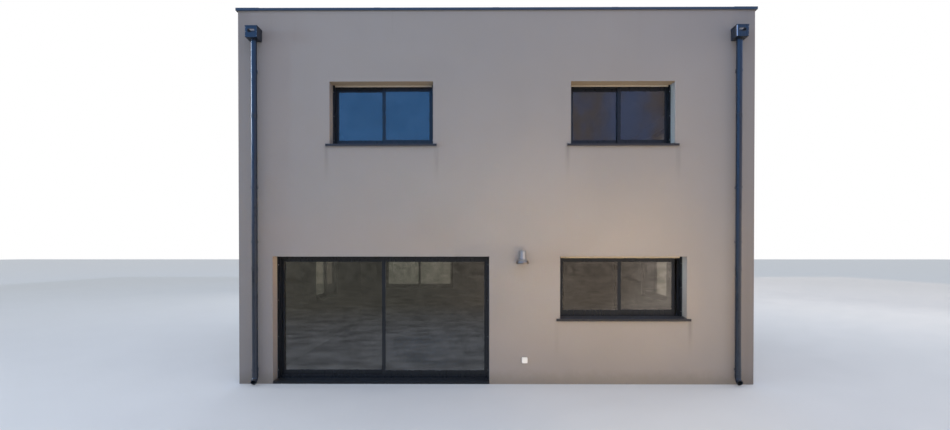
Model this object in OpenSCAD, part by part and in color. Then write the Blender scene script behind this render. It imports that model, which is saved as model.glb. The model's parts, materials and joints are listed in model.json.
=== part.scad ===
// Detached two-storey house with a flat roof behind a parapet.
// Origin on the ground in the middle of the footprint, front wall towards -Y, up is +Z.

/* [House] */
// Width of the house across the front wall
house_w = 9000; // [8900:50:10000]
// Depth of the house from the front wall to the back wall
house_d = 8000; // [6500:100:10000]
// Height of the top of the coping above the ground
house_h = 6560; // [6460:10:6900]
// Height of the finished ground floor above the ground
floor_level = 50; // [40:5:100]
// How much more clear height the ground storey has than the upper storey
ground_extra_h = 255; // [200:5:400]
// Thickness of the upper floor with its screed
upper_floor_t = 300; // [200:10:350]
// Thickness of the concrete roof slab
roof_slab_t = 200; // [150:10:240]
// Thickness of the insulation on the roof slab
roof_insulation_t = 200; // [120:10:240]

/* [Walls] */
// Thickness of an outer wall with its lining
wall_t = 350; // [340:5:450]
// Thickness of the parapet above the roof slab
parapet_t = 220; // [180:5:260]
// Height of the top of the parapet above the roof surface
parapet_h = 530; // [500:10:600]

/* [Roof edge] */
// How far the coping stands out from the wall face
coping_overhang = 28; // [25:1:60]
// How far the coping reaches down below the top of the parapet
coping_drop = 25; // [20:1:60]
// Thickness of the coping at its outer edge
coping_rise = 15; // [12:1:25]
// Fall of the coping from its outer edge to the roof side
coping_fall = 8; // [4:1:8]
// Thickness of the coping sheet
coping_sheet = 3; // [2:0.5:5]
// Length of each leg of a coping corner piece
coping_corner_leg = 400; // [340:10:600]
// How far a coping corner piece stands proud of the lengths it joins
coping_proud = 3; // [1:0.5:5]
// Thickness of the roof membrane
membrane_t = 10; // [5:1:20]
// Height of the membrane upstand against the parapet
upstand_h = 150; // [100:10:250]

/* [Openings] */
// Height of the wall between an upper window and the ceiling
lintel_h = 315; // [250:5:400]
// Height of a window opening
window_h = 1100; // [900:10:1250]
// Width of an upper window opening
upper_window_w = 1810; // [1400:10:2000]
// Width of the ground window opening
ground_window_w = 2210; // [1600:10:2400]
// Width of the patio doorway
patio_w = 3800; // [3000:10:3900]
// Width of the entrance doorway
entrance_w = 1000; // [900:10:1200]
// Distance from the left corner to the upper left window, seen from outside
upper_left_side = 1595; // [1200:5:1900]
// Distance from the right corner to the upper right window
upper_right_side = 1380; // [1000:5:1700]
// Distance from the right corner to the ground window
ground_window_side = 1165; // [900:5:1300]
// Distance from the left corner to the patio doorway
patio_side = 590; // [450:5:650]

/* [Sliding frames] */
// Distance from the wall face to the front of a frame
reveal_d = 240; // [200:5:245]
// Depth of a frame
frame_d = 90; // [86:1:95]
// Face width of a frame
frame_w = 45; // [40:1:60]
// Thickness of a sash
sash_t = 28; // [26:1:30]
// Width of a sash stile at the jamb
stile_w = 50; // [45:1:60]
// Width of the stiles that meet in the middle of a window
window_meeting_w = 54; // [50:1:65]
// Width of the stiles that meet in the middle of the patio door
patio_meeting_w = 60; // [50:1:75]
// Height of a top rail
rail_w = 60; // [55:1:70]
// Height of the bottom rail of a window leaf
window_rail_w = 100; // [85:1:110]
// Height of the bottom rail of a patio leaf
patio_rail_w = 95; // [75:1:120]
// How far the inner leaf of the ground window stands open
ground_leaf_open = 65; // [0:5:120]
// How far a sash reaches into the grooves of its frame
sash_lap = 12; // [8:1:14]
// Depth of the grooves in a frame
groove_h = 20; // [20:1:24]
// Thickness of the pane
pane_t = 20; // [16:1:22]
// How far the pane reaches into its sash
pane_bite = 12; // [8:1:14]
// Radius of a roller under a sash
roller_r = 8; // [6:0.5:9]
// Distance of the rollers from the ends of a sash
roller_inset = 160; // [80:10:250]
// Gap between a roller and its rail
run_gap = 0.3; // [0.1:0.1:0.5]

/* [Shutters] */
// Face width of a shutter guide rail
guide_w = 40; // [35:1:45]
// Depth of a shutter guide rail
guide_d = 40; // [34:1:50]
// Height of the end slat that shows under a lintel
slat_h = 30; // [20:1:60]
// Thickness of the end slat
slat_t = 14; // [8:1:16]

/* [Sills] */
// How far a window sill reaches past each side of its opening
sill_side = 62; // [30:1:80]
// How far a window sill stands out from the wall face
sill_nose = 40; // [30:1:60]
// Height of the front edge of a window sill
sill_front_h = 36; // [30:1:60]
// Thickness of a window sill at its front edge, above the masonry
sill_edge_t = 8; // [8:1:20]
// Fall of a window sill from the frame to its front edge
sill_fall = 25; // [10:1:30]
// Fall of the patio threshold from the frame to its front edge
threshold_fall = 8; // [4:1:15]

/* [Rainwater] */
// Distance from a corner of the house to the middle of its downpipe
pipe_side = 320; // [240:10:340]
// Width of a hopper
hopper_w = 200; // [160:5:240]
// Depth of a hopper from the wall face
hopper_d = 210; // [180:5:260]
// Height of a hopper
hopper_h = 200; // [160:5:260]
// Height of the top of a hopper above the roof surface
hopper_above_roof = 162; // [120:2:180]
// Thickness of the hopper sheet
hopper_sheet = 3; // [2:0.5:5]
// Height of the folded rim round the top of a hopper
hopper_rim_h = 14; // [8:1:20]
// Width of the overflow slot in a hopper
slot_w = 124; // [80:2:140]
// Height of the overflow slot
slot_h = 50; // [30:2:60]
// Distance of the overflow slot below the top of the hopper
slot_below = 60; // [40:2:80]
// Outer radius of a downpipe
pipe_r = 49; // [40:1:55]
// Thickness of a downpipe
pipe_t = 3; // [2:0.5:5]
// Distance from the wall face to the middle of a downpipe
pipe_y = 95; // [85:1:120]
// Height above the ground at which the foot of a downpipe bends
foot_z = 150; // [130:5:250]
// Length of the sleeve of the foot round the downpipe
foot_sleeve_h = 60; // [40:5:100]
// Bend of the foot towards the front, in degrees
foot_angle = 65; // [45:1:75]
// Heights of the pipe brackets above the ground
bracket_z = [270, 2490, 3430, 5440]; // [200:10:5600]
// Width of the roof outlet through the parapet
outlet_w = 110; // [80:5:120]
// Height of the roof outlet through the parapet
outlet_h = 70; // [50:5:90]

/* [Wall light] */
// Place of the light between the patio doorway and the ground window, as a share of the wall there
light_share = 0.4575; // [0.4:0.0025:0.6]
// Height of the mouth of the light above the ground
light_z = 2110; // [1900:10:2200]
// Radius of the hood of the light
light_r = 108; // [90:1:120]
// Height of the hood of the light
hood_h = 75; // [60:1:85]
// Radius of the body of the light
body_r = 56; // [45:1:60]
// Height of the light
light_h = 235; // [215:5:260]
// Distance from the wall face to the middle of the light
light_y = 130; // [125:1:160]

/* [Socket] */
// Place of the socket between the patio doorway and the ground window, as a share of the wall there
socket_share = 0.498; // [0.4:0.002:0.6]
// Height of the middle of the socket above the ground
socket_z = 425; // [250:5:600]
// Width and height of the socket
socket_w = 96; // [80:2:120]
// Depth of the socket
socket_d = 50; // [40:1:70]
// Radius of the corners of the socket
socket_corner_r = 12; // [6:1:20]

/* [Hidden] */
$fn = 64;

RENDER = [0.55, 0.51, 0.49];
CONCRETE = [0.66, 0.65, 0.63];
MEMBRANE = [0.3, 0.31, 0.32];
ANTHRACITE = [0.17, 0.19, 0.22];
SLAT = [0.74, 0.7, 0.64];
GLASS = [0.45, 0.58, 0.68, 0.5];
STEEL = [0.75, 0.75, 0.74];
OPAL = [0.96, 0.93, 0.85];
WHITE = [0.93, 0.93, 0.92];

// Length by which a cutting shape runs past the surface that it cuts
cut = 5;
// Depth by which a joined shape sinks into its neighbour
sink = 1;

// Sides of the house: turn about the middle, distance to the wall face, half of the length
quarter_angle = 90;
FRONT = [0, house_d / 2, house_w / 2];
RIGHT = [quarter_angle, house_w / 2, house_d / 2];
BACK = [2 * quarter_angle, house_d / 2, house_w / 2];
LEFT = [3 * quarter_angle, house_w / 2, house_d / 2];

// Leaves of a sliding pair, seen from outside
LEFT_LEAF = "left";
RIGHT_LEAF = "right";

// Levels above the ground
wall_top = house_h - coping_rise;
roof_z = wall_top - parapet_h;
ledge_z = roof_z - membrane_t - roof_insulation_t - roof_slab_t;
upper_clear_h = (ledge_z - floor_level - upper_floor_t - ground_extra_h) / 2;
upper_floor_z = ledge_z - upper_clear_h;
head_h = upper_clear_h - lintel_h;
ground_head_z = floor_level + head_h;
ground_sill_z = ground_head_z - window_h;
upper_head_z = upper_floor_z + head_h;
upper_sill_z = upper_head_z - window_h;

// Places along the front, from the middle of the house
patio_x = patio_side + patio_w / 2 - house_w / 2;
upper_left_x = upper_left_side + upper_window_w / 2 - house_w / 2;
upper_right_x = house_w / 2 - upper_right_side - upper_window_w / 2;
ground_window_x = house_w / 2 - ground_window_side - ground_window_w / 2;
pipe_x = house_w / 2 - pipe_side;
pier_left = patio_x + patio_w / 2;
pier_w = ground_window_x - ground_window_w / 2 - pier_left;
light_x = pier_left + light_share * pier_w;
socket_x = pier_left + socket_share * pier_w;

// Sliding frames: a lip in front, a fin between the tracks and a lip behind
frame_lip = 3;
frame_fin = 2;
groove_w = (frame_d - 2 * frame_lip - frame_fin) / 2;
track_pitch = groove_w + frame_fin;
rail_t = 4;
channel_w = 14;
roller_w = 8;
axle_r = 2.5;
rail_above_sash = 6;
channel_room = 2;
rail_top = frame_w - sash_lap + rail_above_sash;
interlock_t = 2;
interlock_clear = 11;
interlock_reach = track_pitch - sash_t - interlock_clear;
roller_z = rail_above_sash + run_gap + roller_r;
channel_h = roller_z + roller_r + channel_room;

// Handles of the patio leaves
handle_z = 1050;
handle_h = 220;
handle_r = 9;
handle_reach = 45;
pull_h = 120;
pull_w = 24;
pull_depth = 7;

// Entrance door
entrance_frame_w = 60;
entrance_leaf_t = 60;
entrance_rebate = 15;
entrance_groove = 12;
entrance_groove_depth = 6;
entrance_grooves = 4;
bar_h = 900;
bar_r = 14;
bar_reach = 60;
bar_inset = 90;

// Hoppers and downpipes
hopper_rim_t = 5;
foot_r = 80;
foot_stub = 30;
foot_step_h = 6;
spigot_h = 40;
spigot_gap = 0.5;
clip_t = 2.5;
clip_h = 30;
clip_gap = 0.3;
ear_w = 14;
ear_t = 10;
stud_r = 6;
rose_r = 22;
rose_t = 5;

// Wall light
light_sheet = 3;
hood_brim_h = 22;
hood_steps = 8;
cap_r = 20;
band_h = 10;
band_t = 2;
lamp_arm_r = 11;
lamp_rose_r = 45;
lamp_rose_t = 18;
globe_r = 42;
stem_r = 14;

// Socket
lid_inset = 6;
lid_t = 5;
lid_lip_h = 8;
lid_lip_w = 30;
lid_hinge_r = 4;

// Each window: side of the house, place along the side, width, height of its sill, outer leaf
UPPER_LEFT = [FRONT, upper_left_x, upper_window_w, upper_sill_z, RIGHT_LEAF];
UPPER_RIGHT = [FRONT, upper_right_x, upper_window_w, upper_sill_z, RIGHT_LEAF];
GROUND = [FRONT, ground_window_x, ground_window_w, ground_sill_z, LEFT_LEAF];
REAR_WINDOWS = [
    [BACK, upper_left_x, upper_window_w, upper_sill_z, RIGHT_LEAF],
    [BACK, upper_right_x, upper_window_w, upper_sill_z, RIGHT_LEAF],
    [BACK, ground_window_x, ground_window_w, ground_sill_z, LEFT_LEAF],
    [RIGHT, 0, upper_window_w, upper_sill_z, RIGHT_LEAF],
    [RIGHT, 0, upper_window_w, ground_sill_z, RIGHT_LEAF],
    [LEFT, 0, upper_window_w, upper_sill_z, RIGHT_LEAF],
    [LEFT, 0, upper_window_w, ground_sill_z, RIGHT_LEAF]
];
WINDOWS = concat([UPPER_LEFT, UPPER_RIGHT, GROUND], REAR_WINDOWS);

function leaf_w(w, meeting_w) = (w - 2 * frame_w + meeting_w) / 2 + sash_lap;
function track_y(track) = reveal_d + frame_lip + track * track_pitch + groove_w / 2;
function on_side(windows, side) = [for (window = windows) if (window[0] == side) window];

// Places children on a side: x along the wall, y into the house from the wall face, z up
module on_wall(side) {
    rotate([0, 0, side[0]])
        translate([0, -side[1], 0])
            children();
}

// Places children at a window: x from the middle, z from the bottom of the opening
module at_window(window) {
    on_wall(window[0])
        translate([window[1], 0, window[3]])
            children();
}

module along_x(length) {
    rotate([90, 0, 90])
        translate([0, 0, -length / 2])
            linear_extrude(length)
                children();
}

// Walls and slabs
module wall_body(low_length, high_length, bottom, top) {
    translate([-low_length / 2, 0, bottom])
        cube([low_length, wall_t, ledge_z - bottom]);
    translate([-high_length / 2, 0, ledge_z])
        cube([high_length, parapet_t, top - ledge_z]);
}

module opening(x, w, bottom, top) {
    translate([x - w / 2, -cut, bottom])
        cube([w, wall_t + 2 * cut, top - bottom]);
}

module window_openings(windows) {
    for (window = windows)
        opening(window[1], window[2], window[3], window[3] + window_h);
}

module ground_slab() {
    color(CONCRETE)
        linear_extrude(floor_level) {
            square([house_w - 2 * wall_t, house_d - 2 * wall_t], center = true);
            translate([patio_x - patio_w / 2, reveal_d - house_d / 2])
                square([patio_w, wall_t - reveal_d + cut]);
            translate([-patio_x - entrance_w / 2, house_d / 2 - wall_t - cut])
                square([entrance_w, wall_t + cut]);
        }
}

module front_wall_left() {
    color(RENDER)
        on_wall(FRONT)
            translate([-house_w / 2, 0, 0])
                cube([house_w / 2 + patio_x - patio_w / 2, wall_t, ground_head_z]);
}

module front_wall_right() {
    right_jamb = patio_x + patio_w / 2;
    color(RENDER)
        on_wall(FRONT)
            difference() {
                translate([right_jamb, 0, 0])
                    cube([house_w / 2 - right_jamb, wall_t, ground_head_z]);
                opening(ground_window_x, ground_window_w, ground_sill_z, ground_head_z + cut);
            }
}

module front_wall_upper() {
    color(RENDER)
        on_wall(FRONT)
            difference() {
                wall_body(house_w, house_w, ground_head_z, wall_top);
                window_openings([UPPER_LEFT, UPPER_RIGHT]);
                for (side = [-1, 1])
                    opening(side * pipe_x, outlet_w, roof_z, roof_z + outlet_h);
            }
}

module side_wall(side) {
    color(RENDER)
        on_wall(side)
            difference() {
                wall_body(house_d - 2 * wall_t, house_d - 2 * parapet_t, 0, wall_top);
                window_openings(on_side(WINDOWS, side));
            }
}

module back_wall() {
    color(RENDER)
        on_wall(BACK)
            difference() {
                wall_body(house_w, house_w, 0, wall_top);
                window_openings(on_side(WINDOWS, BACK));
                opening(patio_x, entrance_w, -cut, ground_head_z);
            }
}

module upper_floor_slab() {
    color(CONCRETE)
        translate([wall_t - house_w / 2, wall_t - house_d / 2, upper_floor_z - upper_floor_t])
            cube([house_w - 2 * wall_t, house_d - 2 * wall_t, upper_floor_t]);
}

module inside_parapet(bottom, height) {
    translate([parapet_t - house_w / 2, parapet_t - house_d / 2, bottom])
        cube([house_w - 2 * parapet_t, house_d - 2 * parapet_t, height]);
}

module roof_slab() {
    color(CONCRETE)
        inside_parapet(ledge_z, roof_slab_t);
}

// Insulation and membrane in one, turned up against the parapet and cut out at the outlets
module roof_membrane() {
    color(MEMBRANE)
        difference() {
            inside_parapet(ledge_z + roof_slab_t, roof_z + upstand_h - ledge_z - roof_slab_t);
            translate([
                parapet_t + membrane_t - house_w / 2,
                parapet_t + membrane_t - house_d / 2,
                roof_z
            ])
                cube([
                    house_w - 2 * (parapet_t + membrane_t),
                    house_d - 2 * (parapet_t + membrane_t),
                    upstand_h + cut
                ]);
            on_wall(FRONT)
                for (side = [-1, 1])
                    opening(side * pipe_x, outlet_w, roof_z, roof_z + outlet_h);
        }
}

// Coping outline: x inwards from the outer edge, y up from the top of the parapet
module coping_outline(proud) {
    width = parapet_t + 2 * coping_overhang;
    hem = 4 * coping_sheet;
    inner_rise = coping_rise - coping_fall;
    polygon([
        [-proud, coping_rise + proud],
        [-proud, -coping_drop - proud],
        [hem, -coping_drop - proud],
        [hem, coping_sheet - coping_drop],
        [coping_sheet, coping_sheet - coping_drop],
        [coping_sheet, 0],
        [width - coping_sheet, 0],
        [width - coping_sheet, -coping_drop],
        [width + proud, -coping_drop],
        [width + proud, inner_rise + proud]
    ]);
}

module coping_lengths() {
    color(ANTHRACITE)
        for (side = [FRONT, RIGHT, BACK, LEFT])
            on_wall(side)
                translate([0, -coping_overhang, wall_top])
                    along_x(2 * (side[2] + coping_overhang - coping_corner_leg))
                        coping_outline(0);
}

module coping_corner_half() {
    intersection() {
        translate([coping_corner_leg / 2 - cut, 0, 0])
            along_x(coping_corner_leg + 2 * cut)
                coping_outline(coping_proud);
        translate([0, 0, -2 * coping_drop])
            linear_extrude(4 * coping_drop)
                polygon([
                    [-coping_proud, -coping_proud],
                    [coping_corner_leg, -coping_proud],
                    [coping_corner_leg, coping_corner_leg]
                ]);
    }
}

module coping_corners() {
    color(ANTHRACITE)
        for (x_flip = [0, 1], y_flip = [0, 1])
            mirror([x_flip, 0, 0])
                mirror([0, y_flip, 0])
                    translate([
                        -house_w / 2 - coping_overhang,
                        -house_d / 2 - coping_overhang,
                        wall_top
                    ]) {
                        coping_corner_half();
                        mirror([1, -1, 0])
                            coping_corner_half();
                    }
}

// Rainwater
hopper_z = roof_z + hopper_above_roof - hopper_h;

module rounded_slot(w, h, depth) {
    rotate([90, 0, 0])
        linear_extrude(depth) {
            square([w - h, h], center = true);
            for (side = [-1, 1])
                translate([side * (w - h) / 2, 0])
                    circle(d = h);
        }
}

module hopper(side) {
    slot_z = hopper_h - slot_below - slot_h / 2;
    spigot_r = pipe_r - pipe_t - spigot_gap;
    color(ANTHRACITE)
        on_wall(FRONT)
            translate([side * pipe_x, 0, hopper_z])
                difference() {
                    union() {
                        translate([-hopper_w / 2, -hopper_d, 0])
                            cube([hopper_w, hopper_d, hopper_h]);
                        translate([
                            -hopper_w / 2 - hopper_rim_t,
                            -hopper_d - hopper_rim_t,
                            hopper_h - hopper_rim_h
                        ])
                            cube([
                                hopper_w + 2 * hopper_rim_t,
                                hopper_d + hopper_rim_t,
                                hopper_rim_h
                            ]);
                        translate([0, -pipe_y, -spigot_h])
                            cylinder(r = spigot_r, h = spigot_h + hopper_sheet);
                    }
                    translate([hopper_sheet - hopper_w / 2, hopper_sheet - hopper_d, hopper_sheet])
                        cube([hopper_w - 2 * hopper_sheet, hopper_d - 2 * hopper_sheet, hopper_h]);
                    translate([0, -hopper_d + hopper_sheet + cut, slot_z])
                        rounded_slot(slot_w, slot_h, hopper_sheet + 2 * cut);
                    translate([-outlet_w / 2, -hopper_sheet - cut, roof_z - hopper_z])
                        cube([outlet_w, hopper_sheet + 2 * cut, outlet_h]);
                    translate([0, -pipe_y, -spigot_h - cut])
                        cylinder(r = spigot_r - pipe_t, h = spigot_h + hopper_sheet + 2 * cut);
                }
}

module pipe_length(length) {
    difference() {
        cylinder(r = pipe_r, h = length);
        translate([0, 0, -cut])
            cylinder(r = pipe_r - pipe_t, h = length + 2 * cut);
    }
}

module pipe_ring() {
    difference() {
        circle(r = pipe_r);
        circle(r = pipe_r - pipe_t);
    }
}

// Ring round a joint of two pipe pieces
module pipe_bead() {
    rotate_extrude()
        translate([pipe_r - pipe_t / 2, -foot_step_h / 2])
            square([pipe_t, foot_step_h]);
}

// Bend towards the front at the lower end of a downpipe, with a sleeve round the pipe
module pipe_foot() {
    sleeve_r = pipe_r + clip_gap;
    rotate_extrude()
        polygon([
            [pipe_r - pipe_t / 2, -foot_step_h],
            [sleeve_r + pipe_t, -foot_step_h],
            [sleeve_r + pipe_t, foot_sleeve_h],
            [sleeve_r, foot_sleeve_h],
            [sleeve_r, 0],
            [pipe_r - pipe_t / 2, 0]
        ]);
    translate([0, -foot_r, 0])
        rotate([-90, 0, 90]) {
            rotate_extrude(angle = foot_angle)
                translate([foot_r, 0])
                    pipe_ring();
            rotate([0, 0, foot_angle])
                translate([foot_r, 0, 0])
                    rotate([-90, 0, 0]) {
                        pipe_length(foot_stub);
                        pipe_bead();
                    }
        }
}

module downpipe(side) {
    color(ANTHRACITE)
        on_wall(FRONT)
            translate([side * pipe_x, -pipe_y, foot_z]) {
                translate([0, 0, run_gap])
                    pipe_length(hopper_z - foot_z - run_gap);
                pipe_foot();
            }
}

module pipe_brackets() {
    color(ANTHRACITE)
        on_wall(FRONT)
            for (side = [-1, 1], z = bracket_z)
                translate([side * pipe_x, -pipe_y, z]) {
                    difference() {
                        union() {
                            cylinder(r = pipe_r + clip_gap + clip_t, h = clip_h, center = true);
                            cube([2 * (pipe_r + clip_gap + ear_w), ear_t, clip_h], center = true);
                        }
                        cylinder(r = pipe_r + clip_gap, h = clip_h + cut, center = true);
                    }
                    translate([0, pipe_r + clip_gap + clip_t / 2, 0])
                        rotate([-90, 0, 0])
                            cylinder(r = stud_r, h = pipe_y - pipe_r - clip_gap - clip_t / 2);
                    translate([0, pipe_y - rose_t, 0])
                        rotate([-90, 0, 0])
                            cylinder(r = rose_r, h = rose_t);
                }
}

// Sliding frames: x from the middle of the opening, y from the wall face, z from its bottom
module sliding_frame(w, h) {
    groove_x = frame_w - groove_h;
    difference() {
        translate([-w / 2, reveal_d, 0])
            cube([w, frame_d, h]);
        translate([frame_w - w / 2, reveal_d - cut, frame_w])
            cube([w - 2 * frame_w, frame_d + 2 * cut, h - 2 * frame_w]);
        for (track = [0, 1])
            translate([groove_x - w / 2, track_y(track) - groove_w / 2, groove_x])
                cube([w - 2 * groove_x, groove_w, h - 2 * groove_x]);
    }
    for (track = [0, 1])
        translate([groove_x - w / 2, track_y(track) - rail_t / 2, groove_x])
            cube([w - 2 * groove_x, rail_t, rail_top - groove_x]);
}

// One sash from its lower left corner, in the middle of its thickness
module sash(w, h, left_w, right_w, bottom_w) {
    difference() {
        translate([0, -sash_t / 2, 0])
            cube([w, sash_t, h]);
        translate([left_w, -sash_t / 2 - cut, bottom_w])
            cube([w - left_w - right_w, sash_t + 2 * cut, h - bottom_w - rail_w]);
        translate([left_w - pane_bite, -pane_t / 2, bottom_w - pane_bite])
            cube([
                w - left_w - right_w + 2 * pane_bite,
                pane_t,
                h - bottom_w - rail_w + 2 * pane_bite
            ]);
        translate([-cut, -channel_w / 2, -cut])
            cube([w + 2 * cut, channel_w, channel_h + cut]);
    }
    for (x = [roller_inset, w - roller_inset])
        translate([x, 0, roller_z])
            rotate([90, 0, 0]) {
                cylinder(r = roller_r, h = roller_w, center = true);
                cylinder(r = axle_r, h = channel_w, center = true);
            }
}

// Fin on the meeting edge of a leaf, which shuts the view between the two leaves
module interlock(w, h, leaf, outer_leaf) {
    x = leaf == LEFT_LEAF ? w - interlock_t : 0;
    y = leaf == outer_leaf ? sash_t / 2 - sink : -sash_t / 2 - interlock_reach;
    end = sash_lap + interlock_clear;
    translate([x, y, end])
        cube([interlock_t, interlock_reach + sink, h - 2 * end]);
}

module pane(w, h, left_w, right_w, bottom_w) {
    translate([left_w - pane_bite, -pane_t / 2, bottom_w - pane_bite])
        cube([
            w - left_w - right_w + 2 * pane_bite,
            pane_t,
            h - bottom_w - rail_w + 2 * pane_bite
        ]);
}

// Places a leaf of a sliding pair: the left or right one, in the outer track or the inner one,
// with the inner one slid open
module at_leaf(w, meeting_w, leaf, outer_leaf, open = 0) {
    track = leaf == outer_leaf ? 0 : 1;
    x = leaf == LEFT_LEAF
        ? frame_w - sash_lap - w / 2 + track * open
        : w / 2 - frame_w + sash_lap - leaf_w(w, meeting_w) - track * open;
    translate([x, track_y(track), frame_w - sash_lap])
        children();
}

function leaf_open(window) = window == GROUND ? ground_leaf_open : 0;
function leaf_h(h) = h - 2 * (frame_w - sash_lap);
function left_stile(leaf, meeting_w) = leaf == LEFT_LEAF ? stile_w : meeting_w;
function right_stile(leaf, meeting_w) = leaf == LEFT_LEAF ? meeting_w : stile_w;

module window_frame(window) {
    color(ANTHRACITE)
        at_window(window)
            sliding_frame(window[2], window_h);
}

module window_sashes(window) {
    meeting_w = window_meeting_w;
    color(ANTHRACITE)
        at_window(window)
            for (leaf = [LEFT_LEAF, RIGHT_LEAF])
                at_leaf(window[2], meeting_w, leaf, window[4], leaf_open(window)) {
                    sash(
                        leaf_w(window[2], meeting_w),
                        leaf_h(window_h),
                        left_stile(leaf, meeting_w),
                        right_stile(leaf, meeting_w),
                        window_rail_w
                    );
                    interlock(leaf_w(window[2], meeting_w), leaf_h(window_h), leaf, window[4]);
                }
}

module window_glass(window) {
    meeting_w = window_meeting_w;
    color(GLASS)
        at_window(window)
            for (leaf = [LEFT_LEAF, RIGHT_LEAF])
                at_leaf(window[2], meeting_w, leaf, window[4], leaf_open(window))
                    pane(
                        leaf_w(window[2], meeting_w),
                        leaf_h(window_h),
                        left_stile(leaf, meeting_w),
                        right_stile(leaf, meeting_w),
                        window_rail_w
                    );
}

// Window sill outline: x inwards from the wall face, y up from the bottom of the opening
module sill_outline(inner) {
    lip = 12;
    top_fall = sill_fall * (reveal_d - inner) / (reveal_d + sill_nose);
    polygon([
        [inner, 0],
        [inner, sill_edge_t + sill_fall - top_fall],
        [-sill_nose, sill_edge_t],
        [-sill_nose, sill_edge_t - sill_front_h],
        [lip - sill_nose, sill_edge_t - sill_front_h],
        [lip - sill_nose, 0]
    ]);
}

module window_sills() {
    color(ANTHRACITE)
        for (window = WINDOWS)
            at_window(window) {
                along_x(window[2])
                    sill_outline(reveal_d);
                along_x(window[2] + 2 * sill_side)
                    sill_outline(0);
            }
}

// Shutter guide rails stand on the sill in front of each frame
module guide_rail(bottom, top) {
    guide_groove = 18;
    guide_wall = 12;
    difference() {
        translate([0, reveal_d - guide_d, bottom])
            cube([guide_w, guide_d, top - bottom]);
        translate([guide_wall, reveal_d - guide_d / 2 - guide_groove / 2, bottom - cut])
            cube([guide_w, guide_groove, top - bottom + 2 * cut]);
    }
}

module guide_pair(w, bottom, top) {
    for (flip = [0, 1])
        mirror([flip, 0, 0])
            translate([-w / 2, 0, 0])
                guide_rail(bottom, top);
}

module shutter_guides() {
    color(ANTHRACITE) {
        for (window = WINDOWS)
            at_window(window)
                guide_pair(window[2], sill_edge_t + sill_fall, window_h);
        on_wall(FRONT)
            translate([patio_x, 0, floor_level])
                guide_pair(patio_w, 0, head_h);
    }
}

module shutter_slats() {
    slat_inset = 18;
    color(SLAT)
        for (window = WINDOWS)
            at_window(window)
                translate([
                    slat_inset - window[2] / 2,
                    reveal_d - guide_d / 2 - slat_t / 2,
                    window_h - slat_h
                ])
                    cube([window[2] - 2 * slat_inset, slat_t, slat_h]);
}

// Patio door
module at_patio() {
    on_wall(FRONT)
        translate([patio_x, 0, floor_level])
            children();
}

module patio_door_frame() {
    color(ANTHRACITE)
        at_patio()
            sliding_frame(patio_w, head_h);
}

module patio_threshold() {
    color(ANTHRACITE)
        on_wall(FRONT)
            translate([patio_x, 0, 0])
                along_x(patio_w)
                    polygon([
                        [0, 0],
                        [reveal_d, 0],
                        [reveal_d, floor_level],
                        [0, floor_level - threshold_fall]
                    ]);
}

module patio_leaf(leaf) {
    at_patio()
        at_leaf(patio_w, patio_meeting_w, leaf, RIGHT_LEAF) {
            sash(
                leaf_w(patio_w, patio_meeting_w),
                leaf_h(head_h),
                left_stile(leaf, patio_meeting_w),
                right_stile(leaf, patio_meeting_w),
                patio_rail_w
            );
            interlock(leaf_w(patio_w, patio_meeting_w), leaf_h(head_h), leaf, RIGHT_LEAF);
        }
}

module patio_glass(leaf) {
    color(GLASS)
        at_patio()
            at_leaf(patio_w, patio_meeting_w, leaf, RIGHT_LEAF)
                pane(
                    leaf_w(patio_w, patio_meeting_w),
                    leaf_h(head_h),
                    left_stile(leaf, patio_meeting_w),
                    right_stile(leaf, patio_meeting_w),
                    patio_rail_w
                );
}

// Bow handle on the room side of the inner leaf
module bow_handle() {
    for (z = [-1, 1])
        translate([0, 0, z * (handle_h / 2 - handle_r)])
            rotate([-90, 0, 0])
                cylinder(r = handle_r, h = handle_reach);
    translate([0, handle_reach, -handle_h / 2])
        cylinder(r = handle_r, h = handle_h);
}

module patio_left_leaf() {
    color(ANTHRACITE) {
        patio_leaf(LEFT_LEAF);
        at_patio()
            at_leaf(patio_w, patio_meeting_w, LEFT_LEAF, RIGHT_LEAF)
                translate([(stile_w + sash_lap) / 2, sash_t / 2, handle_z])
                    bow_handle();
    }
}

// The outer leaf has a flush pull, because it passes in front of the inner one
module patio_right_leaf() {
    pull_x = leaf_w(patio_w, patio_meeting_w) - (stile_w + sash_lap) / 2;
    color(ANTHRACITE)
        difference() {
            patio_leaf(RIGHT_LEAF);
            at_patio()
                at_leaf(patio_w, patio_meeting_w, RIGHT_LEAF, RIGHT_LEAF)
                    translate([pull_x - pull_w / 2, sash_t / 2 - pull_depth, handle_z - pull_h / 2])
                        cube([pull_w, pull_depth + cut, pull_h]);
        }
}

// Entrance door in the back wall
module at_entrance() {
    on_wall(BACK)
        translate([patio_x, reveal_d, floor_level])
            children();
}

module entrance_door_frame() {
    clear_w = entrance_w - 2 * entrance_frame_w;
    clear_h = head_h - entrance_frame_w;
    color(ANTHRACITE)
        at_entrance()
            difference() {
                translate([-entrance_w / 2, 0, 0])
                    cube([entrance_w, frame_d, head_h]);
                translate([-clear_w / 2, -cut, -cut])
                    cube([clear_w, frame_d + 2 * cut, clear_h + cut]);
                translate([-clear_w / 2 - entrance_rebate, frame_d - entrance_leaf_t, -cut])
                    cube([
                        clear_w + 2 * entrance_rebate,
                        entrance_leaf_t + cut,
                        clear_h + entrance_rebate + cut
                    ]);
            }
}

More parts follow.
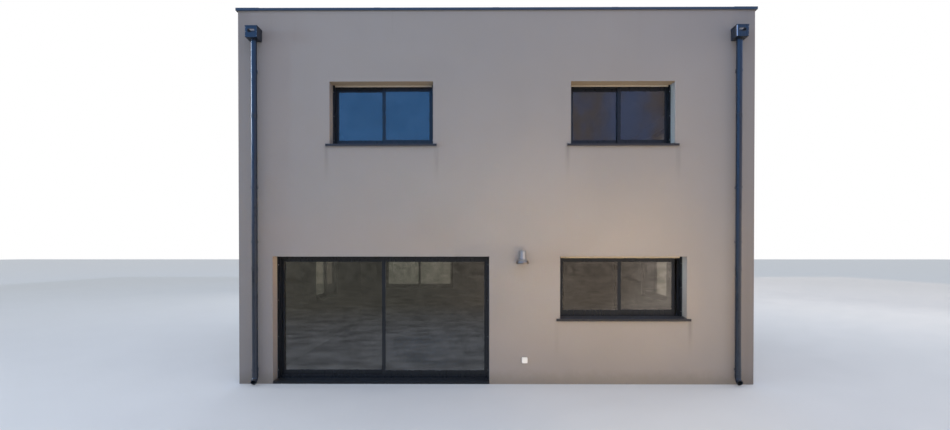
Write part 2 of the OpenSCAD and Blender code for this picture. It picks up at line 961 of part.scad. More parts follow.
module entrance_door_leaf() {
    w = entrance_w - 2 * (entrance_frame_w - entrance_rebate);
    h = head_h - entrance_frame_w + entrance_rebate;
    bar_x = w / 2 - bar_inset;
    color(ANTHRACITE)
        at_entrance()
            translate([0, frame_d - entrance_leaf_t, 0]) {
                difference() {
                    translate([-w / 2, 0, 0])
                        cube([w, entrance_leaf_t, h]);
                    for (row = [1 : entrance_grooves])
                        translate([
                            -w / 2 - cut,
                            -cut,
                            row * h / (entrance_grooves + 1) - entrance_groove / 2
                        ])
                            cube([w + 2 * cut, entrance_groove_depth + cut, entrance_groove]);
                }
                translate([bar_x, -bar_reach, handle_z - bar_h / 2])
                    cylinder(r = bar_r, h = bar_h);
                for (z = [-1, 1])
                    translate([bar_x, -bar_reach, handle_z + z * bar_h / 3])
                        rotate([-90, 0, 0])
                            cylinder(r = bar_r / 2, h = bar_reach + sink);
            }
}

// Wall light: a cylinder with a flared hood on an arm, and an opal globe in its mouth
module at_light() {
    on_wall(FRONT)
        translate([light_x, -light_y, light_z])
            children();
}

// Point on the curve of the hood, from its brim at 0 to the body at 1
function hood_point(share, shrink) = [
    body_r - shrink + (light_r - body_r) * cos(quarter_angle * share),
    hood_brim_h + (hood_h - hood_brim_h) * sin(quarter_angle * share)
];

module light_outline(shrink, bottom) {
    polygon(concat(
        [[0, bottom], [light_r - shrink, bottom]],
        [for (step = [0 : hood_steps]) hood_point(step / hood_steps, shrink)],
        [
            [body_r - shrink, light_h - cap_r],
            [body_r - cap_r, light_h - shrink],
            [0, light_h - shrink]
        ]
    ));
}

module light_bands() {
    for (z = [hood_h, light_h - cap_r - band_h])
        translate([0, 0, z])
            cylinder(r = body_r + band_t, h = band_h);
}

module wall_light_bell() {
    color(STEEL)
        at_light()
            difference() {
                union() {
                    rotate_extrude()
                        light_outline(0, 0);
                    light_bands();
                }
                rotate_extrude()
                    light_outline(light_sheet, -cut);
            }
}

module wall_light_globe() {
    globe_z = hood_brim_h + globe_r;
    color(OPAL)
        at_light() {
            translate([0, 0, globe_z])
                sphere(r = globe_r);
            translate([0, 0, globe_z])
                cylinder(r = stem_r, h = light_h - light_sheet - globe_z);
        }
}

module wall_light_bracket() {
    arm_z = light_z + (hood_h + light_h) / 2;
    color(STEEL)
        on_wall(FRONT)
            difference() {
                translate([light_x, 0, arm_z])
                    rotate([90, 0, 0]) {
                        cylinder(r = lamp_rose_r, h = lamp_rose_t);
                        cylinder(r = lamp_arm_r, h = light_y);
                    }
                translate([light_x, -light_y, light_z])
                    cylinder(r = body_r, h = light_h);
            }
}

// Socket with a hinged lid
module socket_outline(inset) {
    span = socket_w - 2 * inset;
    r = socket_corner_r;
    square([span, span - 2 * r], center = true);
    square([span - 2 * r, span], center = true);
    for (x = [-1, 1], y = [-1, 1])
        translate([x * (span / 2 - r), y * (span / 2 - r)])
            circle(r = r);
}

module wall_socket() {
    lid_top = socket_w / 2 - lid_inset;
    color(WHITE)
        on_wall(FRONT)
            translate([socket_x, 0, socket_z])
                rotate([90, 0, 0]) {
                    linear_extrude(socket_d - lid_t)
                        socket_outline(0);
                    translate([0, 0, socket_d - lid_t - sink])
                        linear_extrude(lid_t + sink)
                            socket_outline(lid_inset);
                    translate([-lid_lip_w / 2, -socket_w / 2, socket_d - lid_t - sink])
                        cube([lid_lip_w, lid_lip_h, lid_t + sink]);
                    translate([0, lid_top, socket_d - lid_t])
                        rotate([0, quarter_angle, 0])
                            cylinder(r = lid_hinge_r, h = socket_w / 2, center = true);
                }
}

ground_slab();
front_wall_left();
front_wall_right();
front_wall_upper();
side_wall(LEFT);  // left_wall
side_wall(RIGHT);  // right_wall
back_wall();
upper_floor_slab();
roof_slab();
roof_membrane();
coping_lengths();
coping_corners();
hopper(-1);  // hopper_left
hopper(1);  // hopper_right
downpipe(-1);  // downpipe_left
downpipe(1);  // downpipe_right
pipe_brackets();
patio_door_frame();
patio_threshold();
patio_left_leaf();
patio_glass(LEFT_LEAF);  // patio_left_glass
patio_right_leaf();
patio_glass(RIGHT_LEAF);  // patio_right_glass
window_frame(UPPER_LEFT);  // upper_left_window_frame
window_sashes(UPPER_LEFT);  // upper_left_window_sashes
window_glass(UPPER_LEFT);  // upper_left_window_glass
window_frame(UPPER_RIGHT);  // upper_right_window_frame
window_sashes(UPPER_RIGHT);  // upper_right_window_sashes
window_glass(UPPER_RIGHT);  // upper_right_window_glass
window_frame(GROUND);  // ground_window_frame
window_sashes(GROUND);  // ground_window_sashes
window_glass(GROUND);  // ground_window_glass
for (window = REAR_WINDOWS) window_frame(window);  // rear_window_frames
for (window = REAR_WINDOWS) window_sashes(window);  // rear_window_sashes
for (window = REAR_WINDOWS) window_glass(window);  // rear_window_glass
window_sills();
shutter_guides();
shutter_slats();
entrance_door_frame();
entrance_door_leaf();
wall_light_bracket();
wall_light_bell();
wall_light_globe();
wall_socket();
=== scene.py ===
"""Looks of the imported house: render, coated metal, double glazing, seals, fixings, roofing and studio."""

import json
import math
from collections import namedtuple

import bmesh
import bpy
from mathutils import Matrix, Vector


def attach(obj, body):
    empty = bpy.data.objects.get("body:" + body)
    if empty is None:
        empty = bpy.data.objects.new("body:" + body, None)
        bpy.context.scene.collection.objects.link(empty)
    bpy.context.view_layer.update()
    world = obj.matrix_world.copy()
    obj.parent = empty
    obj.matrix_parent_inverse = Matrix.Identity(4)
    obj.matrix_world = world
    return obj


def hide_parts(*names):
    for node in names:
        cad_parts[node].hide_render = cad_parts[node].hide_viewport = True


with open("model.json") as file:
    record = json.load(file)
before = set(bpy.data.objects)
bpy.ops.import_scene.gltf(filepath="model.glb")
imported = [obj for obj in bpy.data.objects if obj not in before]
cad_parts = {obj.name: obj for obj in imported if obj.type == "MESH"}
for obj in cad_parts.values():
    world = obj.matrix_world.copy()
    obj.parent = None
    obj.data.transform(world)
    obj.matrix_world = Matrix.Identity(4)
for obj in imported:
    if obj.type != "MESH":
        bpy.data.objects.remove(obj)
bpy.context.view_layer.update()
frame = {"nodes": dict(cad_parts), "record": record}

# Sizes of the source, in metres: walls, roof and coping
HALF_W, HALF_D = 4.5, 4.0
WALL_T, PARAPET_T = 0.35, 0.22
FLOOR_Z, ROOM_TOP, ROOF_Z, WALL_TOP = 0.05, 5.606, 6.015, 6.545
UPSTAND_H, UPSTAND_T = 0.15, 0.01
COPING_OUT, COPING_DROP, COPING_SHEET = 0.028, 0.025, 0.0035
COPING_FRONT, COPING_BACK, COPING_CORNER = 0.015, 0.007, 0.4

# Openings, the frames in them, shutter guides and sills
HEAD_H, WINDOW_H = 2.185, 1.1
GROUND_SILL, UPPER_SILL = 1.135, 4.19
PATIO_X, PATIO_W = -2.01, 3.8
REVEAL, FRAME_D, FRAME_W = 0.24, 0.09, 0.045
LIP, GROOVE_W, TRACK_PITCH = 0.003, 0.041, 0.043
GUIDE_W, GUIDE_D, SLAT_SHOWS = 0.04, 0.04, 0.03
GUIDE_FACE = REVEAL - GUIDE_D
SILL_OVERHANG, SILL_RISE, DRAIN_IN = 0.062, 0.034, 0.26
WINDOW_SCREWS = (0.12, WINDOW_H / 2, WINDOW_H - 0.12)
PATIO_SCREWS = (0.15, 0.75, 1.4, HEAD_H - 0.15)

# Sliding leaves: sections, lap over the frame, bite of the glass, meeting stiles and handles
SASH_T, STILE, RAIL, LAP, BITE = 0.028, 0.05, 0.06, 0.012, 0.012
WINDOW_RAIL, WINDOW_MEET = 0.1, 0.054
PATIO_RAIL, PATIO_MEET = 0.095, 0.06
GROUND_OPEN = 0.065
HANDLE_IN = 0.031
HANDLE_Z = FRAME_W - LAP + 1.05

# Downpipes, hoppers with an overflow slot, wall light and socket
PIPE_X, PIPE_Y, PIPE_R = 4.18, 0.095, 0.049
BRACKETS, SLEEVES = (0.27, 2.49, 3.43, 5.44), (1.98, 4.62)
HOPPER_Z, HOPPER_W, HOPPER_D, HOPPER_H = 5.977, 0.2, 0.21, 0.2
SLOT_Z, SLOT_W, SLOT_H = HOPPER_Z + HOPPER_H - 0.085, 0.124, 0.05
LIGHT_X, LIGHT_Y, LIGHT_Z = 0.455, 0.13, 2.11
SOCKET_X, SOCKET_Z, SOCKET_W, SOCKET_D = 0.505, 0.425, 0.096, 0.05

# Radius and height of each kind of screw head
GUIDE_SCREW = (0.0035, 0.0026)
PLATE_SCREW = (0.004, 0.0024)
SPLICE_SCREW = (0.0028, 0.0014)
BAR_SCREW = (0.0035, 0.0028)
RIVET = (0.0022, 0.0014)
BRACKET_BOLT = (0.0034, 0.0036)
LAMP_SCREW = (0.0034, 0.0026)
SOCKET_SCREW = (0.0026, 0.0012)
LOCK = (0.0085, 0.004)

FRONT, RIGHT, BACK, LEFT = range(4)
REACH = {FRONT: HALF_D, RIGHT: HALF_W, BACK: HALF_D, LEFT: HALF_W}
HALF_LENGTH = {FRONT: HALF_W, RIGHT: HALF_D, BACK: HALF_W, LEFT: HALF_D}
# Name, side, middle, width, height of the sill and outer leaf
WINDOWS = (
    ("upper_left", FRONT, -2.0, 1.81, UPPER_SILL, "right"),
    ("upper_right", FRONT, 2.215, 1.81, UPPER_SILL, "right"),
    ("ground", FRONT, 2.23, 2.21, GROUND_SILL, "left"),
    ("back_upper_a", BACK, -2.0, 1.81, UPPER_SILL, "right"),
    ("back_upper_b", BACK, 2.215, 1.81, UPPER_SILL, "right"),
    ("back_ground", BACK, 2.23, 2.21, GROUND_SILL, "left"),
    ("right_upper", RIGHT, 0.0, 1.81, UPPER_SILL, "right"),
    ("right_ground", RIGHT, 0.0, 1.81, GROUND_SILL, "right"),
    ("left_upper", LEFT, 0.0, 1.81, UPPER_SILL, "right"),
    ("left_ground", LEFT, 0.0, 1.81, GROUND_SILL, "right"),
)


# Mesh kit

OUTWARDS = Matrix.Rotation(math.radians(90), 4, "X")
INWARDS = Matrix.Rotation(math.radians(-90), 4, "X")
UPWARDS = Matrix.Identity(4)
SHARP = math.radians(35)


def on_wall(side, x=0.0, y=0.0, z=0.0):
    """Matrix of a wall: x along it, y into the house from its face, z up."""
    turn = Matrix.Rotation(math.radians(90 * side), 4, "Z")
    return turn @ Matrix.Translation((x, y - REACH[side], z))


def around(steps):
    """Evenly spaced angles of a full turn."""
    return [2 * math.pi * k / steps for k in range(steps)]


def bands(count, rings, closed=False):
    """Quads that join rings of `count` points, and the last ring to the first where closed."""
    pairs = [(k, (k + 1) % rings) for k in range(rings if closed else rings - 1)]
    return [(low * count + i, low * count + (i + 1) % count, high * count + (i + 1) % count, high * count + i)
            for low, high in pairs for i in range(count)]


def place(name, data):
    """An object of that name and data, linked to the scene."""
    thing = bpy.data.objects.new(name, data)
    bpy.context.scene.collection.objects.link(thing)
    return thing


class Piece:
    """Collects the parts of one piece, each placed by the matrix in `at`."""

    def __init__(self, at=None):
        self.bm = bmesh.new()
        self.at = at or Matrix.Identity(4)

    def add(self, points, faces, bevel=0.0, segments=2):
        """Points and faces, with every edge rounded where a bevel is given."""
        verts = [self.bm.verts.new(self.at @ Vector(p)) for p in points]
        made = [self.bm.faces.new([verts[i] for i in face]) for face in faces]
        if bevel:
            edges = list(dict.fromkeys(e for f in made for e in f.edges))
            bmesh.ops.bevel(self.bm, geom=edges, offset=bevel, segments=segments, profile=0.5,
                            affect="EDGES", clamp_overlap=True)

    def box(self, low, high, bevel=0.0, segments=2):
        (x0, y0, z0), (x1, y1, z1) = low, high
        points = [(x0, y0, z0), (x1, y0, z0), (x1, y1, z0), (x0, y1, z0),
                  (x0, y0, z1), (x1, y0, z1), (x1, y1, z1), (x0, y1, z1)]
        faces = [(3, 2, 1, 0), (4, 5, 6, 7), (0, 1, 5, 4), (1, 2, 6, 5), (2, 3, 7, 6), (3, 0, 4, 7)]
        self.add(points, faces, bevel, segments)

    def loft(self, low, high, bevel=0.0):
        """Two rings of as many points each, capped and joined."""
        n = len(low)
        caps = [tuple(range(n))[::-1], tuple(range(n, 2 * n))]
        self.add(low + high, caps + bands(n, 2), bevel)

    def prism(self, outline, x0, x1, bevel=0.0):
        """An outline of (y, z) drawn out along x."""
        self.loft([(x0, y, z) for y, z in outline], [(x1, y, z) for y, z in outline], bevel)

    def post(self, outline, z0, z1):
        """An outline of (x, y) drawn out along z."""
        self.loft([(x, y, z0) for x, y in outline], [(x, y, z1) for x, y in outline])

    def border(self, x0, z0, x1, z1, outline):
        """A profile of (inset, y) run round a rectangle with mitred corners."""
        points = []
        for px, pz, sx, sz in ((x0, z0, 1, 1), (x1, z0, -1, 1), (x1, z1, -1, -1), (x0, z1, 1, -1)):
            points += [(px + sx * inset, y, pz + sz * inset) for inset, y in outline]
        self.add(points, bands(len(outline), 4, closed=True))

    def lathe(self, outline, steps, closed=True):
        """An outline of (radius, height) turned about z; a radius of 0 closes it there."""
        rings = []
        for r, h in outline:
            spots = [(r * math.cos(a), r * math.sin(a), h) for a in around(steps)] if r > 0 else [(0, 0, h)]
            rings.append([self.bm.verts.new(self.at @ Vector(spot)) for spot in spots])
        pairs = list(zip(rings, rings[1:]))
        if closed:
            pairs.append((rings[-1], rings[0]))
        for low, high in pairs:
            for k in range(steps):
                a, b = low[k % len(low)], low[(k + 1) % len(low)]
                c, d = high[(k + 1) % len(high)], high[k % len(high)]
                corners = list(dict.fromkeys((a, b, c, d)))
                if len(corners) > 2:
                    self.bm.faces.new(corners)

    def screw(self, x, y, z, r, h, turn):
        """A domed screw head with a washer; turn points its axis away from the surface."""
        kept, self.at = self.at, self.at @ Matrix.Translation((x, y, z)) @ turn
        self.lathe([(0, 0), (r * 1.5, 0), (r * 1.5, h * 0.25), (r, h * 0.3), (r, h * 0.7),
                    (r * 0.8, h), (r * 0.3, h), (r * 0.25, h * 0.7), (0, h * 0.7)], 12, closed=False)
        self.at = kept

    def mesh(self, name, shader):
        """The collected parts as a mesh."""
        mesh = bpy.data.meshes.new(name)
        self.bm.to_mesh(mesh)
        self.bm.free()
        mesh.materials.append(shader.mat)
        return mesh

    def done(self, name, shader, slot, body="house"):
        """The finished piece, which rides on its body."""
        bmesh.ops.recalc_face_normals(self.bm, faces=self.bm.faces)
        mesh = self.mesh(name, shader)
        mesh.shade_smooth()
        mesh.set_sharp_from_angle(angle=SHARP)
        piece = place(name, mesh)
        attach(piece, body)
        return piece


# Shader kit

class Shader:
    """A Principled material whose patterns sit in the frame of the house."""

    def __init__(self, name, roughness=0.5, **fixed):
        self.mat = bpy.data.materials.new(name)
        self.mat.use_nodes = True
        self.tree = self.mat.node_tree
        self.tree.nodes.clear()
        self.out = self.new("ShaderNodeOutputMaterial")
        self.bsdf = self.new("ShaderNodeBsdfPrincipled")
        self.join(self.bsdf.outputs[0], self.out.inputs["Surface"])
        self.put("Roughness", roughness)
        for socket, value in fixed.items():
            self.put(socket.replace("_", " "), value)
        self.where = self.new("ShaderNodeTexCoord").outputs["Object"]
        self.normal = None

    def new(self, kind, **settings):
        node = self.tree.nodes.new(kind)
        for key, value in settings.items():
            setattr(node, key, value)
        return node

    def join(self, source, target):
        self.tree.links.new(source, target)

    def feed(self, target, value):
        if isinstance(value, bpy.types.NodeSocket):
            self.join(value, target)
        else:
            target.default_value = value

    def put(self, socket, value):
        if isinstance(value, tuple) and len(value) == 3 and "Color" in socket:
            value = (*value, 1.0)
        self.feed(self.bsdf.inputs[socket], value)

    def math(self, operation, a, b=0.0):
        node = self.new("ShaderNodeMath", operation=operation)
        self.feed(node.inputs[0], a)
        self.feed(node.inputs[1], b)
        return node.outputs[0]

    def product(self, first, *others):
        for other in others:
            first = self.math("MULTIPLY", first, other)
        return first

    def split(self, vector, name):
        node = self.new("ShaderNodeSeparateXYZ")
        self.join(vector, node.inputs[0])
        return node.outputs[name]

    def axis(self, name):
        return self.split(self.where, name)

    def facing(self, name):
        return self.split(self.new("ShaderNodeNewGeometry").outputs["Normal"], name)

    def stretched(self, *scale):
        node = self.new("ShaderNodeMapping")
        node.inputs["Scale"].default_value = scale
        self.join(self.where, node.inputs[0])
        return node.outputs[0]

    def noise(self, scale, detail, rough=0.5, where=None):
        node = self.new("ShaderNodeTexNoise")
        self.join(where or self.where, node.inputs["Vector"])
        node.inputs["Scale"].default_value = scale
        node.inputs["Detail"].default_value = detail
        node.inputs["Roughness"].default_value = rough
        return node.outputs["Fac"]

    def cells(self, scale, feature="F1", output="Distance"):
        node = self.new("ShaderNodeTexVoronoi", feature=feature)
        self.join(self.where, node.inputs["Vector"])
        node.inputs["Scale"].default_value = scale
        return node.outputs[output]

    def rows(self, width, height, joint, offset, first, second, mortar):
        """Tiles or boards in rows, with two tones and the colour of the joints."""
        node = self.new("ShaderNodeTexBrick", offset=offset)
        self.join(self.where, node.inputs["Vector"])
        for socket, number in (("Scale", 1.0), ("Brick Width", width), ("Row Height", height),
                               ("Mortar Size", joint)):
            node.inputs[socket].default_value = number
        for socket, colour in (("Color1", first), ("Color2", second), ("Mortar", mortar)):
            node.inputs[socket].default_value = (*colour, 1.0)
        return node.outputs["Color"]

    def span(self, value, low, high, to_low=0.0, to_high=1.0):
        """Maps low..high smoothly to to_low..to_high, held at both ends."""
        node = self.new("ShaderNodeMapRange", clamp=True, interpolation_type="SMOOTHSTEP")
        for socket, number in zip(("From Min", "From Max", "To Min", "To Max"), (low, high, to_low, to_high)):
            node.inputs[socket].default_value = number
        self.join(value, node.inputs["Value"])
        return node.outputs["Result"]

    def fade(self, value, low, high):
        """1 up to low, 0 from high on."""
        return self.span(value, low, high, 1.0, 0.0)

    def within(self, value, low, high, edge):
        """1 between low and high, 0 outside, with soft edges."""
        rise = self.span(value, low - edge, low + edge)
        return self.product(rise, self.fade(value, high - edge, high + edge))

    def mix(self, share, a, b, blend="MIX"):
        node = self.new("ShaderNodeMix", data_type="RGBA", blend_type=blend)
        self.feed(node.inputs["Factor"], share)
        for socket, colour in (("A", a), ("B", b)):
            target = next(s for s in node.inputs if s.name == socket and s.type == "RGBA")
            self.feed(target, (*colour, 1.0) if isinstance(colour, tuple) else colour)
        return next(s for s in node.outputs if s.type == "RGBA")

    def bump(self, height, distance, strength):
        node = self.new("ShaderNodeBump")
        node.inputs["Distance"].default_value = distance
        node.inputs["Strength"].default_value = strength
        self.feed(node.inputs["Height"], height)
        if self.normal is not None:
            self.join(self.normal, node.inputs["Normal"])
        self.normal = node.outputs[0]
        self.join(self.normal, self.bsdf.inputs["Normal"])


def shade(colour, factor):
    return tuple(min(1.0, c * factor) for c in colour)


# Render of the walls

WALL, WARM_CLOUD = (0.272, 0.244, 0.231), (0.285, 0.245, 0.215)
LINING = (0.33, 0.32, 0.30)
SPLASHED = (0.17, 0.145, 0.115)
# Warm tan painted on downward faces outside: painted light, standing in for warm light bounced up onto the
# soffits
PAINTED_SOFFIT_GLOW = (0.36, 0.28, 0.195)
# Tones of the painted shade towards the front corners and at the right end of the front
PAINTED_CORNER_SHADE, PAINTED_RIGHT_SHADE = (0.12, 0.105, 0.1), (0.17, 0.165, 0.18)


def plain_render(s, grain):
    """Colour of the render before the weather: broad patches, warm clouds and dark grains."""
    patches = s.noise(0.42, 3.0, 0.55)
    clouds = s.noise(2.6, 4.0, 0.6)
    colour = s.mix(s.span(patches, 0.34, 0.66), shade(WALL, 0.955), shade(WALL, 1.045))
    colour = s.mix(s.span(clouds, 0.3, 0.7, 0.0, 0.5), colour, s.mix(0.5, colour, WARM_CLOUD))
    return s.mix(s.span(grain, 0.35, 0.7, 0.0, 0.22), colour, shade(WALL, 0.7))


def run_marks(s, colour, x, y, z):
    """Runs under the coping and under both ends of the front sills, and splashes at the foot."""
    runs = s.noise(7.0, 3.0, 0.6, s.stretched(1.0, 1.0, 0.09))
    top_runs = s.product(s.span(z, 5.7, 6.5), s.span(runs, 0.55, 0.75, 0.0, 0.22))
    colour = s.mix(top_runs, colour, shade(WALL, 0.72))
    splash_edge = s.math("ADD", z, s.product(s.noise(5.0, 4.0, 0.7), -0.22))
    colour = s.mix(s.span(splash_edge, -0.08, 0.18, 0.5, 0.0), colour, SPLASHED)
    front = s.fade(y, 0.02 - HALF_D, 0.1 - HALF_D)
    outer, inner, edge = 0.03, 0.04, 0.03
    for _, side, middle, width, sill, _ in WINDOWS:
        if side == FRONT:
            low, high = middle - width / 2 - SILL_OVERHANG, middle + width / 2 + SILL_OVERHANG
            beside = s.math("ADD", s.within(x, low - outer, low + inner, edge),
                            s.within(x, high - inner, high + outer, edge))
            below = s.product(s.span(z, sill - 0.75, sill - 0.05), s.fade(z, sill - 0.03, sill - 0.01))
            streak = s.product(beside, below, s.span(runs, 0.35, 0.7, 0.1, 0.55), front)
            colour = s.mix(streak, colour, shade(WALL, 0.6))
    return colour


def painted_edge_shade(s, colour, x, y, z):
    """Painted shade: darker corners of the front, and two faint darker bands at the right end of the house.
    """
    # Painted shade: the front face darkens towards both corners, more on the right.
    corner = s.product(s.span(x, 4.15, 4.4), s.span(z, 2.0, 5.5, 0.5, 0.24))
    corner = s.math("ADD", corner, s.span(x, -4.4, -4.2, 0.18, 0.0))
    colour = s.mix(s.product(corner, s.fade(y, 0.01 - HALF_D, 0.1 - HALF_D)), colour, PAINTED_CORNER_SHADE)
    # Painted shade: two soft darker bands at the right end of the front, one high up and one at mid height.
    top = s.product(s.span(x, 1.5, 4.2), s.span(z, 4.4, 6.4, 0.0, 0.38))
    middle = s.product(s.span(x, 2.8, 4.0), s.span(z, 1.6, 3.4, 0.0, 0.3))
    return s.mix(s.math("MAXIMUM", top, middle), colour, PAINTED_RIGHT_SHADE)


def wall_render():
    """Fine coloured render outside, matt paint on the room side."""
    s = Shader("wall_render")
    x, y, z = s.axis("X"), s.axis("Y"), s.axis("Z")
    grain = s.noise(330.0, 3.0, 0.65)
    colour = run_marks(s, plain_render(s, grain), x, y, z)
    inside = s.product(s.math("LESS_THAN", s.math("ABSOLUTE", x), HALF_W - WALL_T + 0.004),
                       s.math("LESS_THAN", s.math("ABSOLUTE", y), HALF_D - WALL_T + 0.004),
                       s.math("LESS_THAN", z, ROOM_TOP))
    paint = s.mix(s.span(s.noise(90.0, 3.0), 0.4, 0.6, 0.0, 0.3), LINING, shade(LINING, 0.9))
    colour = s.mix(inside, colour, paint)
    # Painted light: the soffits of the openings, and every other downward face outside, take a warm tan in
    # place of warm light bounced up from below.
    lintel = s.product(s.fade(s.facing("Z"), -0.9, -0.5), s.math("SUBTRACT", 1.0, inside))
    colour = s.mix(lintel, colour, PAINTED_SOFFIT_GLOW)
    s.put("Base Color", painted_edge_shade(s, colour, x, y, z))
    s.put("Roughness", s.span(grain, 0.3, 0.7, 0.82, 0.97))
    s.bump(s.noise(22.0, 3.0, 0.5), 0.0014, 0.35)
    s.bump(s.cells(260.0, feature="SMOOTH_F1"), 0.0006, 0.55)
    s.bump(grain, 0.0009, 0.5)
    return s


# Other materials

DUST, RUN_MARK = (0.23, 0.21, 0.185), (0.12, 0.125, 0.13)
TILE_A, TILE_B, TILE_JOINT = (0.27, 0.255, 0.235), (0.24, 0.228, 0.212), (0.12, 0.115, 0.11)
BOARD_A, BOARD_B, BOARD_JOINT = (0.25, 0.15, 0.085), (0.19, 0.11, 0.06), (0.05, 0.03, 0.02)
WOOD_FIBRE = (0.12, 0.07, 0.04)
CEILING_A, CEILING_B = (0.5, 0.49, 0.47), (0.46, 0.45, 0.43)
FELT_GROUND, FELT_GRIT = (0.11, 0.113, 0.116), (0.26, 0.262, 0.26)
PUDDLE_DIRT, LICHEN = (0.12, 0.11, 0.095), (0.2, 0.19, 0.15)
SLAT_RIB = 0.013


def coated_metal(name, colour, roughness, dust, wear=0.2, gloss=0.5):
    """Powder coat: fine orange peel, thin dust on top faces, faint runs."""
    s = Shader(name, Specular_IOR_Level=gloss)
    peel = s.noise(650.0, 2.0, 0.5)
    tone = s.noise(3.0, 3.0, 0.6)
    base = s.mix(s.span(tone, 0.3, 0.7), shade(colour, 0.88), shade(colour, 1.14))
    up = s.span(s.facing("Z"), 0.5, 0.95)
    spots = s.span(s.noise(55.0, 4.0, 0.7), 0.35, 0.75)
    layer = s.product(up, s.math("ADD", spots, 0.35), dust)
    streaks = s.noise(28.0, 3.0, 0.6, s.stretched(1.0, 1.0, 0.05))
    base = s.mix(s.span(streaks, 0.56, 0.78, 0.0, wear), s.mix(layer, base, DUST), RUN_MARK)
    s.put("Base Color", base)
    s.put("Roughness", s.math("ADD", s.span(streaks, 0.3, 0.7, roughness - 0.05, roughness + 0.08),
                              s.product(layer, 0.6)))
    s.bump(peel, 0.00012, 0.35)
    return s


def glazing(name, tint):
    """Coated clear glass that lets lamps through to the rooms."""
    s = Shader(name, 0.0, IOR=1.5, Transmission_Weight=1.0)
    haze = s.noise(1.7, 3.0, 0.6)
    s.put("Base Color", s.mix(s.span(haze, 0.35, 0.65), tint, shade(tint, 0.93)))
    clear = s.new("ShaderNodeBsdfTransparent")
    clear.inputs[0].default_value = (*shade(tint, 0.95), 1.0)
    swap = s.new("ShaderNodeMixShader")
    s.join(s.new("ShaderNodeLightPath").outputs["Is Shadow Ray"], swap.inputs[0])
    s.join(s.bsdf.outputs[0], swap.inputs[1])
    s.join(clear.outputs[0], swap.inputs[2])
    s.join(swap.outputs[0], s.out.inputs["Surface"])
    return s


def floors():
    """Tiles below and boards above on the floors, paint on the ceilings."""
    s = Shader("floor_finish")
    up = s.span(s.facing("Z"), 0.4, 0.6)
    upstairs = s.math("GREATER_THAN", s.axis("Z"), 1.5)
    tiles = s.rows(0.6, 0.6, 0.003, 0.0, TILE_A, TILE_B, TILE_JOINT)
    boards = s.rows(1.8, 0.14, 0.0015, 0.37, BOARD_A, BOARD_B, BOARD_JOINT)
    fibre = s.noise(30.0, 4.0, 0.6, s.stretched(0.08, 1.0, 1.0))
    wood = s.mix(s.span(fibre, 0.35, 0.7, 0.0, 0.5), boards, WOOD_FIBRE)
    paint = s.mix(s.span(s.noise(60.0, 2.0), 0.4, 0.6, 0.0, 0.3), CEILING_A, CEILING_B)
    s.put("Base Color", s.mix(up, paint, s.mix(upstairs, tiles, wood)))
    s.put("Roughness", s.math("ADD", s.span(fibre, 0.3, 0.7, 0.4, 0.55),
                              s.product(s.math("SUBTRACT", 1.0, up), 0.35)))
    s.bump(s.noise(150.0, 2.0), 0.0004, 0.3)
    return s


def roof_felt():
    """Mineral-surfaced felt: pale grit on a dark ground, with dirt where water stands."""
    s = Shader("roof_felt")
    grit = s.cells(420.0, output="Color")
    grey = s.new("ShaderNodeRGBToBW")
    s.join(grit, grey.inputs[0])
    puddles = s.noise(0.8, 4.0, 0.55)
    base = s.mix(s.span(grey.outputs[0], 0.25, 0.85), FELT_GROUND, FELT_GRIT)
    base = s.mix(s.span(puddles, 0.52, 0.7, 0.0, 0.45), base, PUDDLE_DIRT)
    base = s.mix(s.span(s.noise(9.0, 4.0, 0.7), 0.58, 0.75, 0.0, 0.25), base, LICHEN)
    s.put("Base Color", base)
    s.put("Roughness", s.span(puddles, 0.4, 0.7, 0.95, 0.8))
    s.bump(s.cells(420.0), 0.0012, 0.6)
    return s


def brushed_steel(name, tone, roughness, flare=None):
    """Steel with brush lines; flare is the tone of the lamp's bell below its shoulder, darker and warm,
    painted in for the shade and warm glints on its flared rim.
    """
    s = Shader(name, Metallic=1.0)
    lines = s.noise(900.0, 3.0, 0.7, s.stretched(0.06, 0.06, 1.0))
    marks = s.noise(45.0, 4.0, 0.6)
    colour = s.mix(s.span(marks, 0.4, 0.75, 0.0, 0.5), tone, shade(tone, 0.72))
    # Painted shade and glints: the flared rim below the shoulder takes a darker, warm tone.
    if flare:
        colour = s.mix(s.fade(s.axis("Z"), LIGHT_Z + 0.05, LIGHT_Z + 0.065), colour, flare)
    s.put("Base Color", colour)
    s.put("Roughness", s.span(lines, 0.3, 0.7, roughness - 0.07, roughness + 0.12))
    s.bump(lines, 0.00008, 0.4)
    return s


def matt(name, colour, roughness, scale=240.0, depth=0.0003, spread=0.18):
    """Rubber, sealant, plastic or brush pile, by its grain."""
    s = Shader(name)
    grain = s.noise(scale, 3.0, 0.6)
    wear = s.noise(scale / 18, 3.0, 0.6)
    base = s.mix(s.span(grain, 0.3, 0.7), shade(colour, 1 - spread), shade(colour, 1 + spread))
    s.put("Base Color", s.mix(s.span(wear, 0.5, 0.8, 0.0, 0.3), base, shade(colour, 1.5)))
    s.put("Roughness", s.span(wear, 0.3, 0.7, max(0.05, roughness - 0.1), min(1.0, roughness + 0.08)))
    s.bump(grain, depth, 0.5)
    return s


def slat_metal():
    """Beige foam-filled slat with rolled grooves."""
    s = matt("slat_metal", (0.42, 0.36, 0.28), 0.5, 500.0, 0.00008, 0.05)
    s.bump(s.math("SINE", s.product(s.axis("Z"), 2 * math.pi / SLAT_RIB)), 0.0008, 0.6)
    return s


